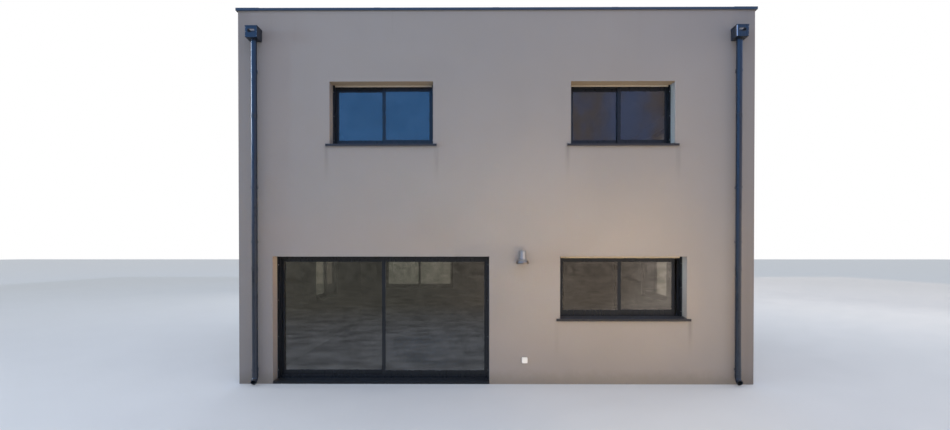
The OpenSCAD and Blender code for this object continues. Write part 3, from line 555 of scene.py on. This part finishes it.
RENDER = wall_render()
FLOORS = floors()
FELT = roof_felt()
COPING = coated_metal("coping_coat", (0.018, 0.030, 0.048), 0.38, 0.2)
RAIN = coated_metal("rainwater_coat", (0.008, 0.0145, 0.027), 0.3, 0.2, 0.06)
FRAMES = coated_metal("frame_coat", (0.004, 0.006, 0.009), 0.3, 0.12, 0.04, 0.37)
SILLS = coated_metal("sill_coat", (0.019, 0.0165, 0.017), 0.42, 0.22, 0.12, 0.4)
GLASS = glazing("window_glass", (0.64, 0.645, 0.625))
SLAT = slat_metal()
STEEL = brushed_steel("lamp_steel", (0.4, 0.4, 0.395), 0.3, (0.26, 0.215, 0.17))
FIXING = brushed_steel("fixing_steel", (0.5, 0.5, 0.5), 0.38)
OPAL = matt("opal_glass", (0.82, 0.76, 0.66), 0.25, 60.0, 0.0001, 0.03)
WHITE = matt("white_plastic", (0.78, 0.78, 0.77), 0.45, 400.0, 0.00012, 0.02)
RUBBER = matt("black_rubber", (0.012, 0.012, 0.013), 0.6)
PILE = matt("brush_pile", (0.02, 0.02, 0.022), 0.95, 900.0, 0.0012, 0.5)
SPACER = matt("edge_spacer", (0.05, 0.052, 0.055), 0.55)
SEALANT = matt("joint_sealant", (0.075, 0.078, 0.082), 0.7, 120.0, 0.0004, 0.08)

CAD_SHADERS = {
    "render": RENDER, "concrete": FLOORS, "roof_membrane": FELT, "coping": COPING, "rainwater_metal": RAIN,
    "frame_metal": FRAMES, "window_glass": GLASS, "sill": SILLS, "shutter_slat": SLAT, "lamp_steel": STEEL,
    "opal_glass": OPAL, "white_plastic": WHITE,
}
for part in frame["record"]["subparts"]:
    node = frame["nodes"][part["node"]]
    for index in range(max(1, len(node.material_slots))):
        if not node.material_slots:
            node.data.materials.append(None)
        node.material_slots[index].material = CAD_SHADERS[part["material_slot"]].mat


# Glazing of the sliding leaves

# Side, corners of the daylight, y of the middle and both ends, with x from the middle of the opening
Leaf = namedtuple("Leaf", "side x0 z0 x1 z1 y low_x high_x")
# Faces of the two sheets of a pane, from its middle
SHEETS = ((-0.0095, -0.0055), (0.0055, 0.0095))


def track_y(track):
    return REVEAL + LIP + track * TRACK_PITCH + GROOVE_W / 2


def leaves(w, h, meet, bottom, outer, opened=0.0):
    """The two leaves of an opening, of which the inner one stands open by `opened`."""
    wide = (w - 2 * FRAME_W + meet) / 2 + LAP
    z0 = FRAME_W - LAP
    high = h - 2 * z0
    for side in ("left", "right"):
        slid = 0.0 if side == outer else opened
        x0 = FRAME_W - LAP - w / 2 + slid if side == "left" else w / 2 - FRAME_W + LAP - wide - slid
        left_w, right_w = (STILE, meet) if side == "left" else (meet, STILE)
        yield Leaf(side, x0 + left_w, z0 + bottom, x0 + wide - right_w, z0 + high - RAIL,
                   track_y(0 if side == outer else 1), x0, x0 + wide)


def new_glazing(at=None):
    """An empty piece for each layer of a glazing."""
    return {kind: Piece(at) for kind in ("glass", "spacer", "gasket")}


def glaze(parts, leaf):
    """Two sheets with a spacer between them, and a wedge gasket on both faces."""
    edge = BITE - 0.002
    for low, high in SHEETS:
        parts["glass"].box((leaf.x0 - edge, leaf.y + low, leaf.z0 - edge),
                           (leaf.x1 + edge, leaf.y + high, leaf.z1 + edge), 0.0004, 1)

    def trim(kind, outline):
        profile = [(inset, leaf.y + dy) for inset, dy in outline]
        parts[kind].border(leaf.x0, leaf.z0, leaf.x1, leaf.z1, profile)

    trim("spacer", [(0.001 - edge, -0.0053), (0.0062, -0.0053), (0.0068, -0.004), (0.0068, 0.004),
                    (0.0062, 0.0053), (0.001 - edge, 0.0053)])
    for s in (-1, 1):
        trim("gasket", [(0.0, s * 0.0142), (0.0022, s * 0.0139), (0.0046, s * 0.0115), (0.005, s * 0.0097),
                        (-0.0005, s * 0.0097)])


def glazing_done(parts, name, cad_node, body="house"):
    """The finished layers; the glass takes the place of the panes of the source."""
    piece = parts["glass"].done("glazing_" + name, GLASS, "window_glass", body)
    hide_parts(cad_node)
    parts["spacer"].done("spacer_" + name, SPACER, "frame_metal", body)
    parts["gasket"].done("gasket_" + name, RUBBER, "frame_metal", body)


# Trim of a window or door frame

def brush_strips(pile, w, h):
    """Brush strips on the lips of a frame and on both faces of its fin."""
    thick, near, far = 0.0052, 0.0372, 0.0444
    outer_lip, inner_lip = REVEAL + LIP, REVEAL + FRAME_D - LIP
    for low in (outer_lip, outer_lip + GROOVE_W - thick, outer_lip + TRACK_PITCH, inner_lip - thick):
        high = low + thick
        pile.border(-w / 2, 0.0, w / 2, h, [(near, low), (far, low), (far, high), (near, high)])


def drain_caps(caps, w):
    """Hooded caps over the two drain slots in the outer face of a frame."""
    for x in (DRAIN_IN - w / 2, w / 2 - DRAIN_IN):
        caps.box((x - 0.017, REVEAL - 0.0042, 0.016), (x + 0.017, REVEAL + 0.0004, 0.027), 0.0014)
        caps.box((x - 0.012, REVEAL - 0.0062, 0.0225), (x + 0.012, REVEAL - 0.002, 0.0262), 0.0008)


def sealant_lines(sealant, w, foot, head):
    """Sealant between the guide rails and the reveal, and under the lintel."""
    bead = [(0.0, -0.0055), (-0.0028, -0.0046), (-0.0052, -0.0022), (-0.0055, 0.0002), (0.0, 0.0002)]
    for side in (-1, 1):
        sealant.post([(side * (w / 2 + dx), GUIDE_FACE + dy) for dx, dy in bead], foot, head)
    top = [(REVEAL - 0.0055, head), (REVEAL - 0.0022, head - 0.0048), (REVEAL + 0.0002, head - 0.0055),
           (REVEAL + 0.0002, head)]
    sealant.prism(top, -w / 2, w / 2)


def guide_screws(screws, w, heights):
    """Screw caps up both guide rails."""
    for edge in (-1, 1):
        for z in heights:
            screws.screw(edge * (w / 2 - GUIDE_W / 2), GUIDE_FACE, z, *GUIDE_SCREW, OUTWARDS)


def slat_seal(seals, w):
    """Seal along the lower edge of the shutter's end slat."""
    y, z = REVEAL - GUIDE_D / 2, WINDOW_H - SLAT_SHOWS
    outline = [(y - 0.005, z), (y - 0.004, z - 0.0018), (y, z - 0.0028), (y + 0.004, z - 0.0018),
               (y + 0.005, z)]
    seals.prism(outline, GUIDE_W / 2 - w / 2, w / 2 - GUIDE_W / 2)


def sill_end_caps(caps, w):
    """Upstand caps at both ends of a sill: one in front of the wall, one in the reveal."""
    ahead = [(-0.0398, -0.0292), (-0.0005, -0.0292), (-0.0005, 0.0165), (-0.0398, 0.012)]
    within = [(0.0, 0.0112), (GUIDE_FACE, 0.0292), (GUIDE_FACE, 0.0412), (0.004, 0.0232), (0.0, 0.0182)]
    for end in (-1, 1):
        tip, jamb = end * (w / 2 + SILL_OVERHANG), end * w / 2
        caps.prism(ahead, *sorted((tip - end * 0.0005, tip + end * 0.0022)), 0.0006)
        caps.prism(within, *sorted((jamb, jamb - end * 0.0026)), 0.0005)


# Windows

OWN_GLASS = {"upper_left": "upper_left_window_glass", "upper_right": "upper_right_window_glass",
             "ground": "ground_window_glass"}
rear = new_glazing()
brushes, caps, sealant, slat_seals, sill_caps, screws = (Piece() for _ in range(6))
for name, side, x, w, sill, outer in WINDOWS:
    at = on_wall(side, x, 0.0, sill)
    parts = new_glazing(at) if name in OWN_GLASS else rear
    for piece in (*parts.values(), brushes, caps, sealant, slat_seals, sill_caps, screws):
        piece.at = at
    opened = GROUND_OPEN if name == "ground" else 0.0
    for leaf in leaves(w, WINDOW_H, WINDOW_MEET, WINDOW_RAIL, outer, opened):
        glaze(parts, leaf)
    brush_strips(brushes, w, WINDOW_H)
    drain_caps(caps, w)
    sealant_lines(sealant, w, SILL_RISE, WINDOW_H)
    slat_seal(slat_seals, w)
    sill_end_caps(sill_caps, w)
    guide_screws(screws, w, WINDOW_SCREWS)
    if name in OWN_GLASS:
        glazing_done(parts, name, OWN_GLASS[name])
glazing_done(rear, "rear", "rear_window_glass")
slat_seals.done("shutter_seals", RUBBER, "frame_metal")
sill_caps.done("sill_end_caps", SILLS, "sill")


# Patio door

def stop_buffers(buffers):
    """Rubber buffers at waist height that stop an open leaf in its track."""
    foot, head, half = 0.9, 0.96, 0.009
    for edge in (-1, 1):
        stop = edge * (PATIO_W / 2 - 0.0365)
        low, high = sorted((stop, stop + edge * 0.0115))
        for track in (0, 1):
            buffers.box((low, track_y(track) - half, foot), (high, track_y(track) + half, head), 0.002)


def handle_plate(plate, x, face):
    """Back plate of the bow handle with its two screws."""
    plate.box((x - 0.015, face - 0.0002, HANDLE_Z - 0.135),
              (x + 0.015, face + 0.005, HANDLE_Z + 0.135), 0.0035, 3)
    for z in (HANDLE_Z - 0.122, HANDLE_Z + 0.122):
        plate.screw(x, face + 0.005, z, *PLATE_SCREW, INWARDS)


def flush_pull(pull, x, face):
    """Rim of the flush pull and the snib inside it."""
    rim = [(0.0, 0.0), (0.0, 0.001), (0.001, 0.0016), (0.0042, 0.0016), (0.0048, 0.001), (0.0048, -0.0062),
           (0.004, -0.0062), (0.004, 0.0)]
    pull.border(x - 0.016, HANDLE_Z - 0.064, x + 0.016, HANDLE_Z + 0.064,
                [(inset, face + dy) for inset, dy in rim])
    pull.box((x - 0.004, face - 0.0066, HANDLE_Z - 0.012),
             (x + 0.004, face - 0.002, HANDLE_Z + 0.012), 0.0012)


at = on_wall(FRONT, PATIO_X, 0.0, FLOOR_Z)
for piece in (brushes, caps, sealant, screws):
    piece.at = at
brush_strips(brushes, PATIO_W, HEAD_H)
drain_caps(caps, PATIO_W)
sealant_lines(sealant, PATIO_W, 0.0, HEAD_H)
guide_screws(screws, PATIO_W, PATIO_SCREWS)
stop_buffers(caps)
for leaf in leaves(PATIO_W, HEAD_H, PATIO_MEET, PATIO_RAIL, "right"):
    body = "patio_" + leaf.side
    parts, pull = new_glazing(at), Piece(at)
    glaze(parts, leaf)
    glazing_done(parts, body, body + "_glass", body)
    if leaf.side == "left":
        handle_plate(pull, leaf.low_x + HANDLE_IN, leaf.y + SASH_T / 2)
        pull.done("pull_" + body, FRAMES, "frame_metal", body)
    else:
        flush_pull(pull, leaf.high_x - HANDLE_IN, leaf.y + SASH_T / 2)
        pull.done("pull_" + body, FIXING, "frame_metal", body)
brushes.done("brush_seals", PILE, "frame_metal")
caps.done("drain_caps", RUBBER, "frame_metal")
sealant.done("joint_sealant", SEALANT, "frame_metal")
screws.done("guide_screws", FIXING, "frame_metal")


# Roof edge and roof

SPLICE_T, SPLICE_HALF = 0.0013, 0.055
FELT_STRIPS, FELT_T, FELT_LAP, FELT_GAP = 8, 0.0046, 0.085, 0.001
BAR_SCREW_PITCH = 0.4


def splice_outline():
    """(y, z) round a splice that stands SPLICE_T proud of the coping."""
    outer, inner = -COPING_OUT, PARAPET_T + COPING_OUT
    foot, under = WALL_TOP - COPING_DROP, WALL_TOP + 0.0005
    return [(inner + SPLICE_T, WALL_TOP + COPING_BACK + SPLICE_T), (inner + SPLICE_T, foot + 0.0005),
            (inner - COPING_SHEET, foot + 0.0005), (inner - COPING_SHEET, under),
            (outer + COPING_SHEET, under), (outer + COPING_SHEET, foot + COPING_SHEET),
            (outer + 0.012, foot + COPING_SHEET), (outer + 0.012, foot - SPLICE_T),
            (outer - SPLICE_T, foot - SPLICE_T), (outer - SPLICE_T, WALL_TOP + COPING_FRONT + SPLICE_T)]


def coping_top(y):
    """Height of the top of a splice, which falls towards the roof."""
    fall = (COPING_FRONT - COPING_BACK) * (y + COPING_OUT) / (PARAPET_T + 2 * COPING_OUT)
    return WALL_TOP + COPING_FRONT + SPLICE_T - fall


def coping_splices(splices, screws):
    """A splice with four screws where two lengths of coping meet."""
    for side in range(4):
        splices.at = screws.at = on_wall(side)
        reach = HALF_LENGTH[side] + COPING_OUT - COPING_CORNER
        lengths = 4 if side in (FRONT, BACK) else 3
        for k in range(1, lengths):
            x = -reach + 2 * reach * k / lengths
            splices.prism(splice_outline(), x - SPLICE_HALF, x + SPLICE_HALF)
            for dx in (-0.04, 0.04):
                for y in (0.02, 0.2):
                    screws.screw(x + dx, y, coping_top(y) - 0.0006, *SPLICE_SCREW, UPWARDS)


def felt_strips(felt):
    """Strips of felt across the roof, each lapped over the one before."""
    half_w, half_d = HALF_W - PARAPET_T - UPSTAND_T, HALF_D - PARAPET_T - UPSTAND_T
    low, high, nose = ROOF_Z + 0.0002, ROOF_Z + 0.0002 + FELT_T, 0.0008
    pitch = 2 * half_d / FELT_STRIPS
    for k in range(FELT_STRIPS):
        y0 = -half_d + k * pitch + (0.004 if k else FELT_GAP)
        y1 = min(-half_d + (k + 1) * pitch + FELT_LAP, half_d - FELT_GAP)
        lift = FELT_T if k else 0.0
        flat, down = y0 + 0.082, y0 + 0.1
        felt.prism([(y0, low + lift), (flat, low + lift), (down, low), (y1, low), (y1, high - nose),
                    (y1 - nose, high), (down, high), (flat, high + lift), (y0 + nose, high + lift),
                    (y0, high + lift - nose)], FELT_GAP - half_w, half_w - FELT_GAP)


def upstand_bars(bars, screws):
    """Termination bars along the upstand, screwed to the parapet."""
    face, top = PARAPET_T, ROOF_Z + UPSTAND_H
    outline = [(face, top + 0.036), (face + 0.007, top + 0.032), (face + 0.0132, top + 0.02),
               (face + 0.0132, top - 0.003), (face + 0.0118, top - 0.006), (face, top - 0.006)]
    for side in range(4):
        bars.at = screws.at = on_wall(side)
        inner = HALF_LENGTH[side] - PARAPET_T - UPSTAND_T
        bars.prism(outline, -inner - 0.0095, inner + 0.0095)
        steps = round(2 * inner / BAR_SCREW_PITCH)
        for k in range(steps):
            x = -inner + 2 * inner * (k + 0.5) / steps
            screws.screw(x, face + 0.0132, top + 0.007, *BAR_SCREW, INWARDS)


splices, roof_screws, felt, bars = (Piece() for _ in range(4))
coping_splices(splices, roof_screws)
splices.done("coping_splices", COPING, "coping")
felt_strips(felt)
felt.done("roof_felt_strips", FELT, "roof_membrane")
upstand_bars(bars, roof_screws)
bars.done("upstand_bars", FIXING, "coping")
roof_screws.done("roof_screws", FIXING, "coping")


# Rainwater

SEAM_T = 0.0012
WIRE_R, WIRES = 0.0014, 8
WIRE_PATH = ((0.040, 0.002), (0.044, 0.02), (0.036, 0.042), (0.018, 0.055), (0.0, 0.058))


def slot_ring(r, y, steps=32):
    """A ring with round ends of radius r about the overflow slot."""
    middle = (SLOT_W - SLOT_H) / 2
    return [(math.copysign(middle, math.cos(a)) + r * math.cos(a), y, SLOT_Z + r * math.sin(a))
            for a in around(steps)]


def overflow_lip(trim):
    """Raised lip round the overflow slot."""
    profile = ((0.0, 0.0), (0.0, 0.002), (0.002, 0.003), (0.005, 0.0022), (0.006, 0.0))
    rings = [slot_ring(SLOT_H / 2 + grow, -HOPPER_D - proud) for grow, proud in profile]
    trim.add([point for ring in rings for point in ring], bands(len(rings[0]), len(rings)))


def painted_glint_angle(metal):
    """Bright bare metal angle on the left front corner of a hopper, put there as a painted highlight of a
    glint on that edge.
    """
    x, y = -HOPPER_W / 2, -HOPPER_D
    outline = [(x - 0.0032, y - 0.0028), (x - 0.0012, y - 0.0048), (x + 0.009, y - 0.0048),
               (x + 0.009, y - 0.0002), (x - 0.0004, y - 0.0002), (x - 0.0004, y + 0.03),
               (x - 0.0032, y + 0.03)]
    metal.post(outline, HOPPER_Z + 0.003, HOPPER_Z + HOPPER_H - 0.0147)


def folded_seams(trim, rivets):
    """Folded seams down the two front corners of a hopper, and rivets beside them."""
    for edge in (-1, 1):
        x = edge * HOPPER_W / 2
        low, high = sorted((x - edge * 0.012, x + edge * SEAM_T))
        trim.box((low, -HOPPER_D - SEAM_T, HOPPER_Z + 0.001),
                 (high, -HOPPER_D + 0.003, HOPPER_Z + HOPPER_H - 0.0145), 0.002, 3)
        for z in (0.025, 0.09, 0.155):
            rivets.screw(x - edge * 0.006, -HOPPER_D - SEAM_T, HOPPER_Z + z, *RIVET, OUTWARDS)


def strainer(wires, at):
    """Bent wires that meet over the head of the pipe."""
    for a in around(WIRES):
        bends = [Vector((r * math.cos(a), -PIPE_Y + r * math.sin(a), HOPPER_Z + 0.003 + h))
                 for r, h in WIRE_PATH]
        for p, q in zip(bends, bends[1:]):
            axis, long = (q - p).normalized(), (q - p).length
            wires.at = at @ Matrix.Translation(p) @ axis.to_track_quat("Z", "Y").to_matrix().to_4x4()
            wires.lathe([(0, 0), (WIRE_R, 0), (WIRE_R, long), (0, long)], 6, closed=False)


def bracket_bolts(bolts):
    """A bolt through each ear of a bracket, seen at both of its ends."""
    for z in BRACKETS:
        for ear in (-1, 1):
            for y, turn in ((-PIPE_Y - 0.005, OUTWARDS), (-PIPE_Y + 0.005, INWARDS)):
                bolts.screw(ear * (PIPE_R + 0.0082), y, z, *BRACKET_BOLT, turn)


def pipe_sleeves(sleeves):
    """Sleeves where two lengths of pipe meet, with a rolled rim on top."""
    r = PIPE_R + 0.0001
    for z in SLEEVES:
        sleeves.lathe([(r, z), (r + 0.0022, z + 0.001), (r + 0.0026, z + 0.004), (r + 0.0026, z + 0.064),
                       (r + 0.0034, z + 0.067), (r + 0.0034, z + 0.073), (r + 0.001, z + 0.076),
                       (r, z + 0.076)], 48)


wires, hopper_trim, bolts, sleeves = (Piece() for _ in range(4))
for side in (-1, 1):
    at = on_wall(FRONT, side * PIPE_X)
    hopper_trim.at = bolts.at = at
    overflow_lip(hopper_trim)
    # Only the right hopper gets the bright angle: a painted highlight of a glint on its left front edge.
    if side == 1:
        painted_glint_angle(bolts)
    folded_seams(hopper_trim, bolts)
    strainer(wires, at)
    bracket_bolts(bolts)
    sleeves.at = at @ Matrix.Translation((0, -PIPE_Y, 0))
    pipe_sleeves(sleeves)
wires.done("hopper_strainers", FIXING, "rainwater_metal")
hopper_trim.done("hopper_trim", RAIN, "rainwater_metal")
bolts.done("rainwater_bolts", FIXING, "rainwater_metal")
sleeves.done("pipe_sleeves", RAIN, "rainwater_metal")


# Wall light and socket

def lamp_trim():
    """Three screws on the base plate, the rolled hem in the bell's mouth and the button on its crown."""
    lamp = Piece(on_wall(FRONT, LIGHT_X, -0.018, LIGHT_Z + 0.155))
    for degrees in (90, 210, 330):
        a = math.radians(degrees)
        lamp.screw(0.033 * math.cos(a), 0.0, 0.033 * math.sin(a), *LAMP_SCREW, OUTWARDS)
    lamp.at = on_wall(FRONT, LIGHT_X, -LIGHT_Y, LIGHT_Z)
    lamp.lathe([(0.1079, 0.0006), (0.1079, -0.0014), (0.1068, -0.0022), (0.1048, -0.0022), (0.1036, -0.001),
                (0.1036, 0.003), (0.1048, 0.0044), (0.106, 0.0044)], 64)
    lamp.lathe([(0.0, 0.2352), (0.0075, 0.2352), (0.0082, 0.2366), (0.0076, 0.2398), (0.005, 0.2412),
                (0.0, 0.2414)], 24, closed=False)
    lamp.done("lamp_trim", STEEL, "lamp_steel")


def lamp_seal():
    """Rubber ring on the lower band of the bell."""
    seal = Piece(on_wall(FRONT, LIGHT_X, -LIGHT_Y, LIGHT_Z))
    seal.lathe([(0.0563, 0.0845), (0.0588, 0.0852), (0.0588, 0.0862), (0.0563, 0.0868)], 64)
    seal.done("lamp_seal", RUBBER, "lamp_steel")


def socket_screws():
    """A screw in each corner of the socket's cover."""
    screws = Piece(on_wall(FRONT, SOCKET_X, 0.0, SOCKET_Z))
    corner = SOCKET_W / 2 - 0.012
    for x in (-corner, corner):
        for z in (-corner, corner):
            screws.screw(x, -SOCKET_D, z, *SOCKET_SCREW, OUTWARDS)
    screws.done("socket_screws", FIXING, "white_plastic")


lamp_trim()
lamp_seal()
socket_screws()


# Entrance door at the back

DOOR_FACE = REVEAL + FRAME_D - 0.06


def door_gasket():
    """Gasket round the leaf of the door."""
    gasket = Piece(on_wall(BACK, PATIO_X, DOOR_FACE, FLOOR_Z))
    gasket.border(-0.44, -0.012, 0.44, 2.125, [(0.0, -0.0062), (0.0, 0.001), (0.007, 0.001), (0.009, -0.002),
                                               (0.0065, -0.0062)])
    gasket.done("door_gasket", RUBBER, "frame_metal")


def door_fittings():
    """Lock plate with its cylinder, weather bar and threshold."""
    fittings = Piece(on_wall(BACK, PATIO_X, DOOR_FACE, FLOOR_Z))
    fittings.box((0.352, -0.0062, 0.85), (0.378, 0.0, 0.94), 0.003, 3)
    fittings.screw(0.365, -0.0062, 0.915, *LOCK, OUTWARDS)
    fittings.box((-0.42, -0.032, 0.018), (0.42, 0.0, 0.046), 0.006, 3)
    fittings.box((-0.455, -0.055, 0.0005), (0.455, -0.001, 0.0125), 0.003)
    fittings.done("door_fittings", FIXING, "frame_metal")


door_gasket()
door_fittings()


# Studio ground and soft lights

GROUND_HALF = 150
GROUND_A, GROUND_B = (0.74, 0.735, 0.72), (0.72, 0.715, 0.70)
OPEN, WIDE, NARROW = 180, 110, 12
# Name, place, point that it faces, size, power, colour and spread in degrees
SOFTBOXES = (
    ("sky_top", (0, -13, 14), (0, -4, 4), (9, 5), 318, (0.59, 0.64, 1.0), OPEN),
    ("bounce_mid", (2.2, -8, 0.3), (2.2, -4, 2.6), (3.4, 1.5), 73, (1.0, 0.71, 0.31), WIDE),
    ("side_left", (-15, -7, 5.4), (1.5, -3.9, 5.0), (0.8, 5), 20, (0.41, 0.74, 1.0), NARROW),
    ("wash_left", (-13, -10, 5), (-2, -4, 4.2), (6, 5), 86, (0.81, 0.93, 1.0), WIDE),
    ("low_left", (-15, -7, 1.0), (1.5, -3.9, 2.0), (0.8, 2), 7, (0.83, 0.96, 1.0), NARROW),
    ("side_right", (13, -11, 4), (-1, -4, 3.4), (6, 5), 86, (1.0, 0.73, 0.46), WIDE),
    ("low_right", (15, -7, 1.3), (-1.5, -3.9, 2.4), (0.8, 2.6), 15, (1.0, 0.66, 0.3), NARROW),
    ("fill_back", (-6, 17, 9), (0, 4, 3), (9, 6), 400, (1.0, 0.97, 0.93), OPEN),
    ("fill_right", (17, 5, 9), (4.5, 0, 3), (9, 6), 250, (1.0, 0.98, 0.95), OPEN),
)


def corners(half_w, half_d, z):
    return [(half_w, half_d, z), (-half_w, half_d, z), (-half_w, -half_d, z), (half_w, -half_d, z)]


def studio_ground():
    """A pale matt ground, wide enough to reach the horizon."""
    s = Shader("studio_floor", 0.85)
    s.put("Base Color", s.mix(s.span(s.noise(0.6, 2.0), 0.4, 0.6, 0.0, 0.3), GROUND_A, GROUND_B))
    sheet = Piece()
    sheet.add(corners(GROUND_HALF, GROUND_HALF, 0.0), [(0, 1, 2, 3)])
    floor = place("ground", sheet.mesh("ground", s))


def softbox(name, where, towards, size, power, colour, spread):
    """A rectangular lamp that lights without being seen or reflected."""
    light = bpy.data.lights.new(name, "AREA")
    light.shape = "RECTANGLE"
    light.size, light.size_y = size
    light.energy = power
    light.color = colour
    light.spread = math.radians(spread)
    box = place(name, light)
    box.location = where
    box.rotation_euler = (Vector(towards) - Vector(where)).to_track_quat("-Z", "Y").to_euler()
    box.visible_camera = box.visible_glossy = box.visible_transmission = False


studio_ground()
for lamp in SOFTBOXES:
    softbox(*lamp)


# Soft coloured cards round the house that only gloss and glass show

CARD_R, CARD_H, CARD_SIDES = 34.0, 30.0, 96
CARD_FOOT, CARD_FLOOR = -0.5, 0.03
LOW_NEAR, LOW_LEFT = (0.7, 0.74, 0.84), (0.5, 0.48, 0.42)
LOW_RIGHT, LOW_FAR_RIGHT = (0.92, 0.75, 0.62), (2.4, 2.1, 1.9)
MIDDLE_WARM, MIDDLE_COOL = (0.62, 0.5, 0.46), (0.48, 0.6, 1.1)
BLUE_LOW, BLUE_HIGH = (0.34, 0.98, 2.3), (0.32, 0.9, 2.15)
STRIP = (15.0, 17.0, 20.0)


def low_tones(s, left, far):
    """Mottled tones low down: cool near the house, warm on the right, darker on the left."""
    low = s.mix(s.span(left, -0.3, 0.25), LOW_RIGHT, LOW_LEFT)
    low = s.mix(s.span(left, -0.42, -0.28, 0.5, 0.0), low, LOW_FAR_RIGHT)
    low = s.mix(s.span(far, 6.0, 18.0), LOW_NEAR, low)
    mottle = s.noise(1.5, 4.0, 0.65, s.stretched(1.0, 1.0, 1.4))
    return s.mix(1.0, low, s.span(mottle, 0.34, 0.66, 0.72, 1.28), "MULTIPLY")


def card_glow():
    """Light of the cards: mottled below, blue above, and a bright strip that the left pipe reflects."""
    s = Shader("studio_cards", Base_Color=(0.0, 0.0, 0.0), Specular_IOR_Level=0.0, Emission_Strength=1.0)
    east, north, height = s.axis("X"), s.axis("Y"), s.axis("Z")
    far = s.math("POWER", s.math("ADD", s.product(east, east), s.product(north, north)), 0.5)
    left = s.math("DIVIDE", s.product(east, -1.0), far)
    blotches = s.noise(0.22, 5.0, 0.7, s.stretched(1.0, 1.0, 0.45))
    tone = s.mix(s.span(blotches, 0.4, 0.62), MIDDLE_WARM, MIDDLE_COOL)
    tone = s.mix(s.span(height, 1.0, 9.0), low_tones(s, left, far), tone)
    blue = s.product(s.span(left, -0.15, 0.1), s.span(height, 4.0, 11.0))
    blue = s.math("MAXIMUM", blue, s.span(height, 14.0, 17.5))
    tone = s.mix(blue, tone, s.mix(s.span(height, 8.0, 22.0), BLUE_LOW, BLUE_HIGH))
    turned = s.math("DIVIDE", north, far)
    strip = s.product(s.span(turned, -0.13, -0.1), s.fade(turned, 0.18, 0.24), s.span(left, 0.0, 0.1),
                      s.within(height, 9.5, 18.0, 2.5))
    s.put("Emission Color", s.mix(strip, tone, STRIP))
    return s


def reflection_cards():
    """A ring round the house, and a floor from just outside its walls to the ring."""
    ring = [(CARD_R * math.cos(a), CARD_R * math.sin(a)) for a in around(CARD_SIDES)]
    sheet = Piece()
    sheet.add([(x, y, z) for z in (CARD_FOOT, CARD_H) for x, y in ring], bands(CARD_SIDES, 2))
    near = corners(HALF_W + 0.25, HALF_D + 0.3, CARD_FLOOR)
    sheet.add(near + corners(CARD_R, CARD_R, CARD_FLOOR), bands(4, 2))
    cards = place("cards", sheet.mesh("cards", card_glow()))
    cards.visible_camera = cards.visible_diffuse = cards.visible_shadow = cards.visible_volume_scatter = False


reflection_cards()


# World: white where it is seen, pale blue where it lights

LIT_SKY, LIT_POWER = (0.81, 0.886, 1.0), 0.79
SEEN_SKY, SEEN_POWER = (1.0, 1.0, 1.0), 1.0


def background(tree, colour, power):
    node = tree.nodes.new("ShaderNodeBackground")
    node.inputs[0].default_value = (*colour, 1.0)
    node.inputs[1].default_value = power
    return node.outputs[0]


def sky():
    """Two backgrounds, of which the white one is for rays that are seen, directly or in gloss and glass."""
    world = bpy.data.worlds.new("studio")
    bpy.context.scene.world = world
    world.use_nodes = True
    tree = world.node_tree
    tree.nodes.clear()
    rays = tree.nodes.new("ShaderNodeLightPath").outputs
    seen = rays["Is Camera Ray"]
    for other in ("Is Glossy Ray", "Is Transmission Ray"):
        either = tree.nodes.new("ShaderNodeMath")
        either.operation = "MAXIMUM"
        tree.links.new(seen, either.inputs[0])
        tree.links.new(rays[other], either.inputs[1])
        seen = either.outputs[0]
    blend = tree.nodes.new("ShaderNodeMixShader")
    tree.links.new(seen, blend.inputs[0])
    tree.links.new(background(tree, LIT_SKY, LIT_POWER), blend.inputs[1])
    tree.links.new(background(tree, SEEN_SKY, SEEN_POWER), blend.inputs[2])
    tree.links.new(blend.outputs[0], tree.nodes.new("ShaderNodeOutputWorld").inputs[0])


sky()
bpy.context.scene.view_settings.view_transform = "Standard"


# Camera: place, degrees below level and to the left, sensor, focal length, shift and sight

CAMERA_AT = (-0.316, -12.70, 2.31)
CAMERA_DOWN, CAMERA_LEFT = 0.479, 0.307
SENSOR, FOCAL_LENGTH, SHIFT_UP, SIGHT = 36.0, 18.86, 0.0436, 400.0


def front_camera():
    """Stands in front of the house, a little left of its middle."""
    lens = bpy.data.cameras.new("camera")
    lens.sensor_width = SENSOR
    lens.lens = FOCAL_LENGTH
    lens.shift_y = SHIFT_UP
    lens.clip_end = SIGHT
    camera = place("camera", lens)
    camera.location = CAMERA_AT
    camera.rotation_euler = (math.radians(90 - CAMERA_DOWN), 0.0, math.radians(CAMERA_LEFT))
    bpy.context.scene.camera = camera


front_camera()
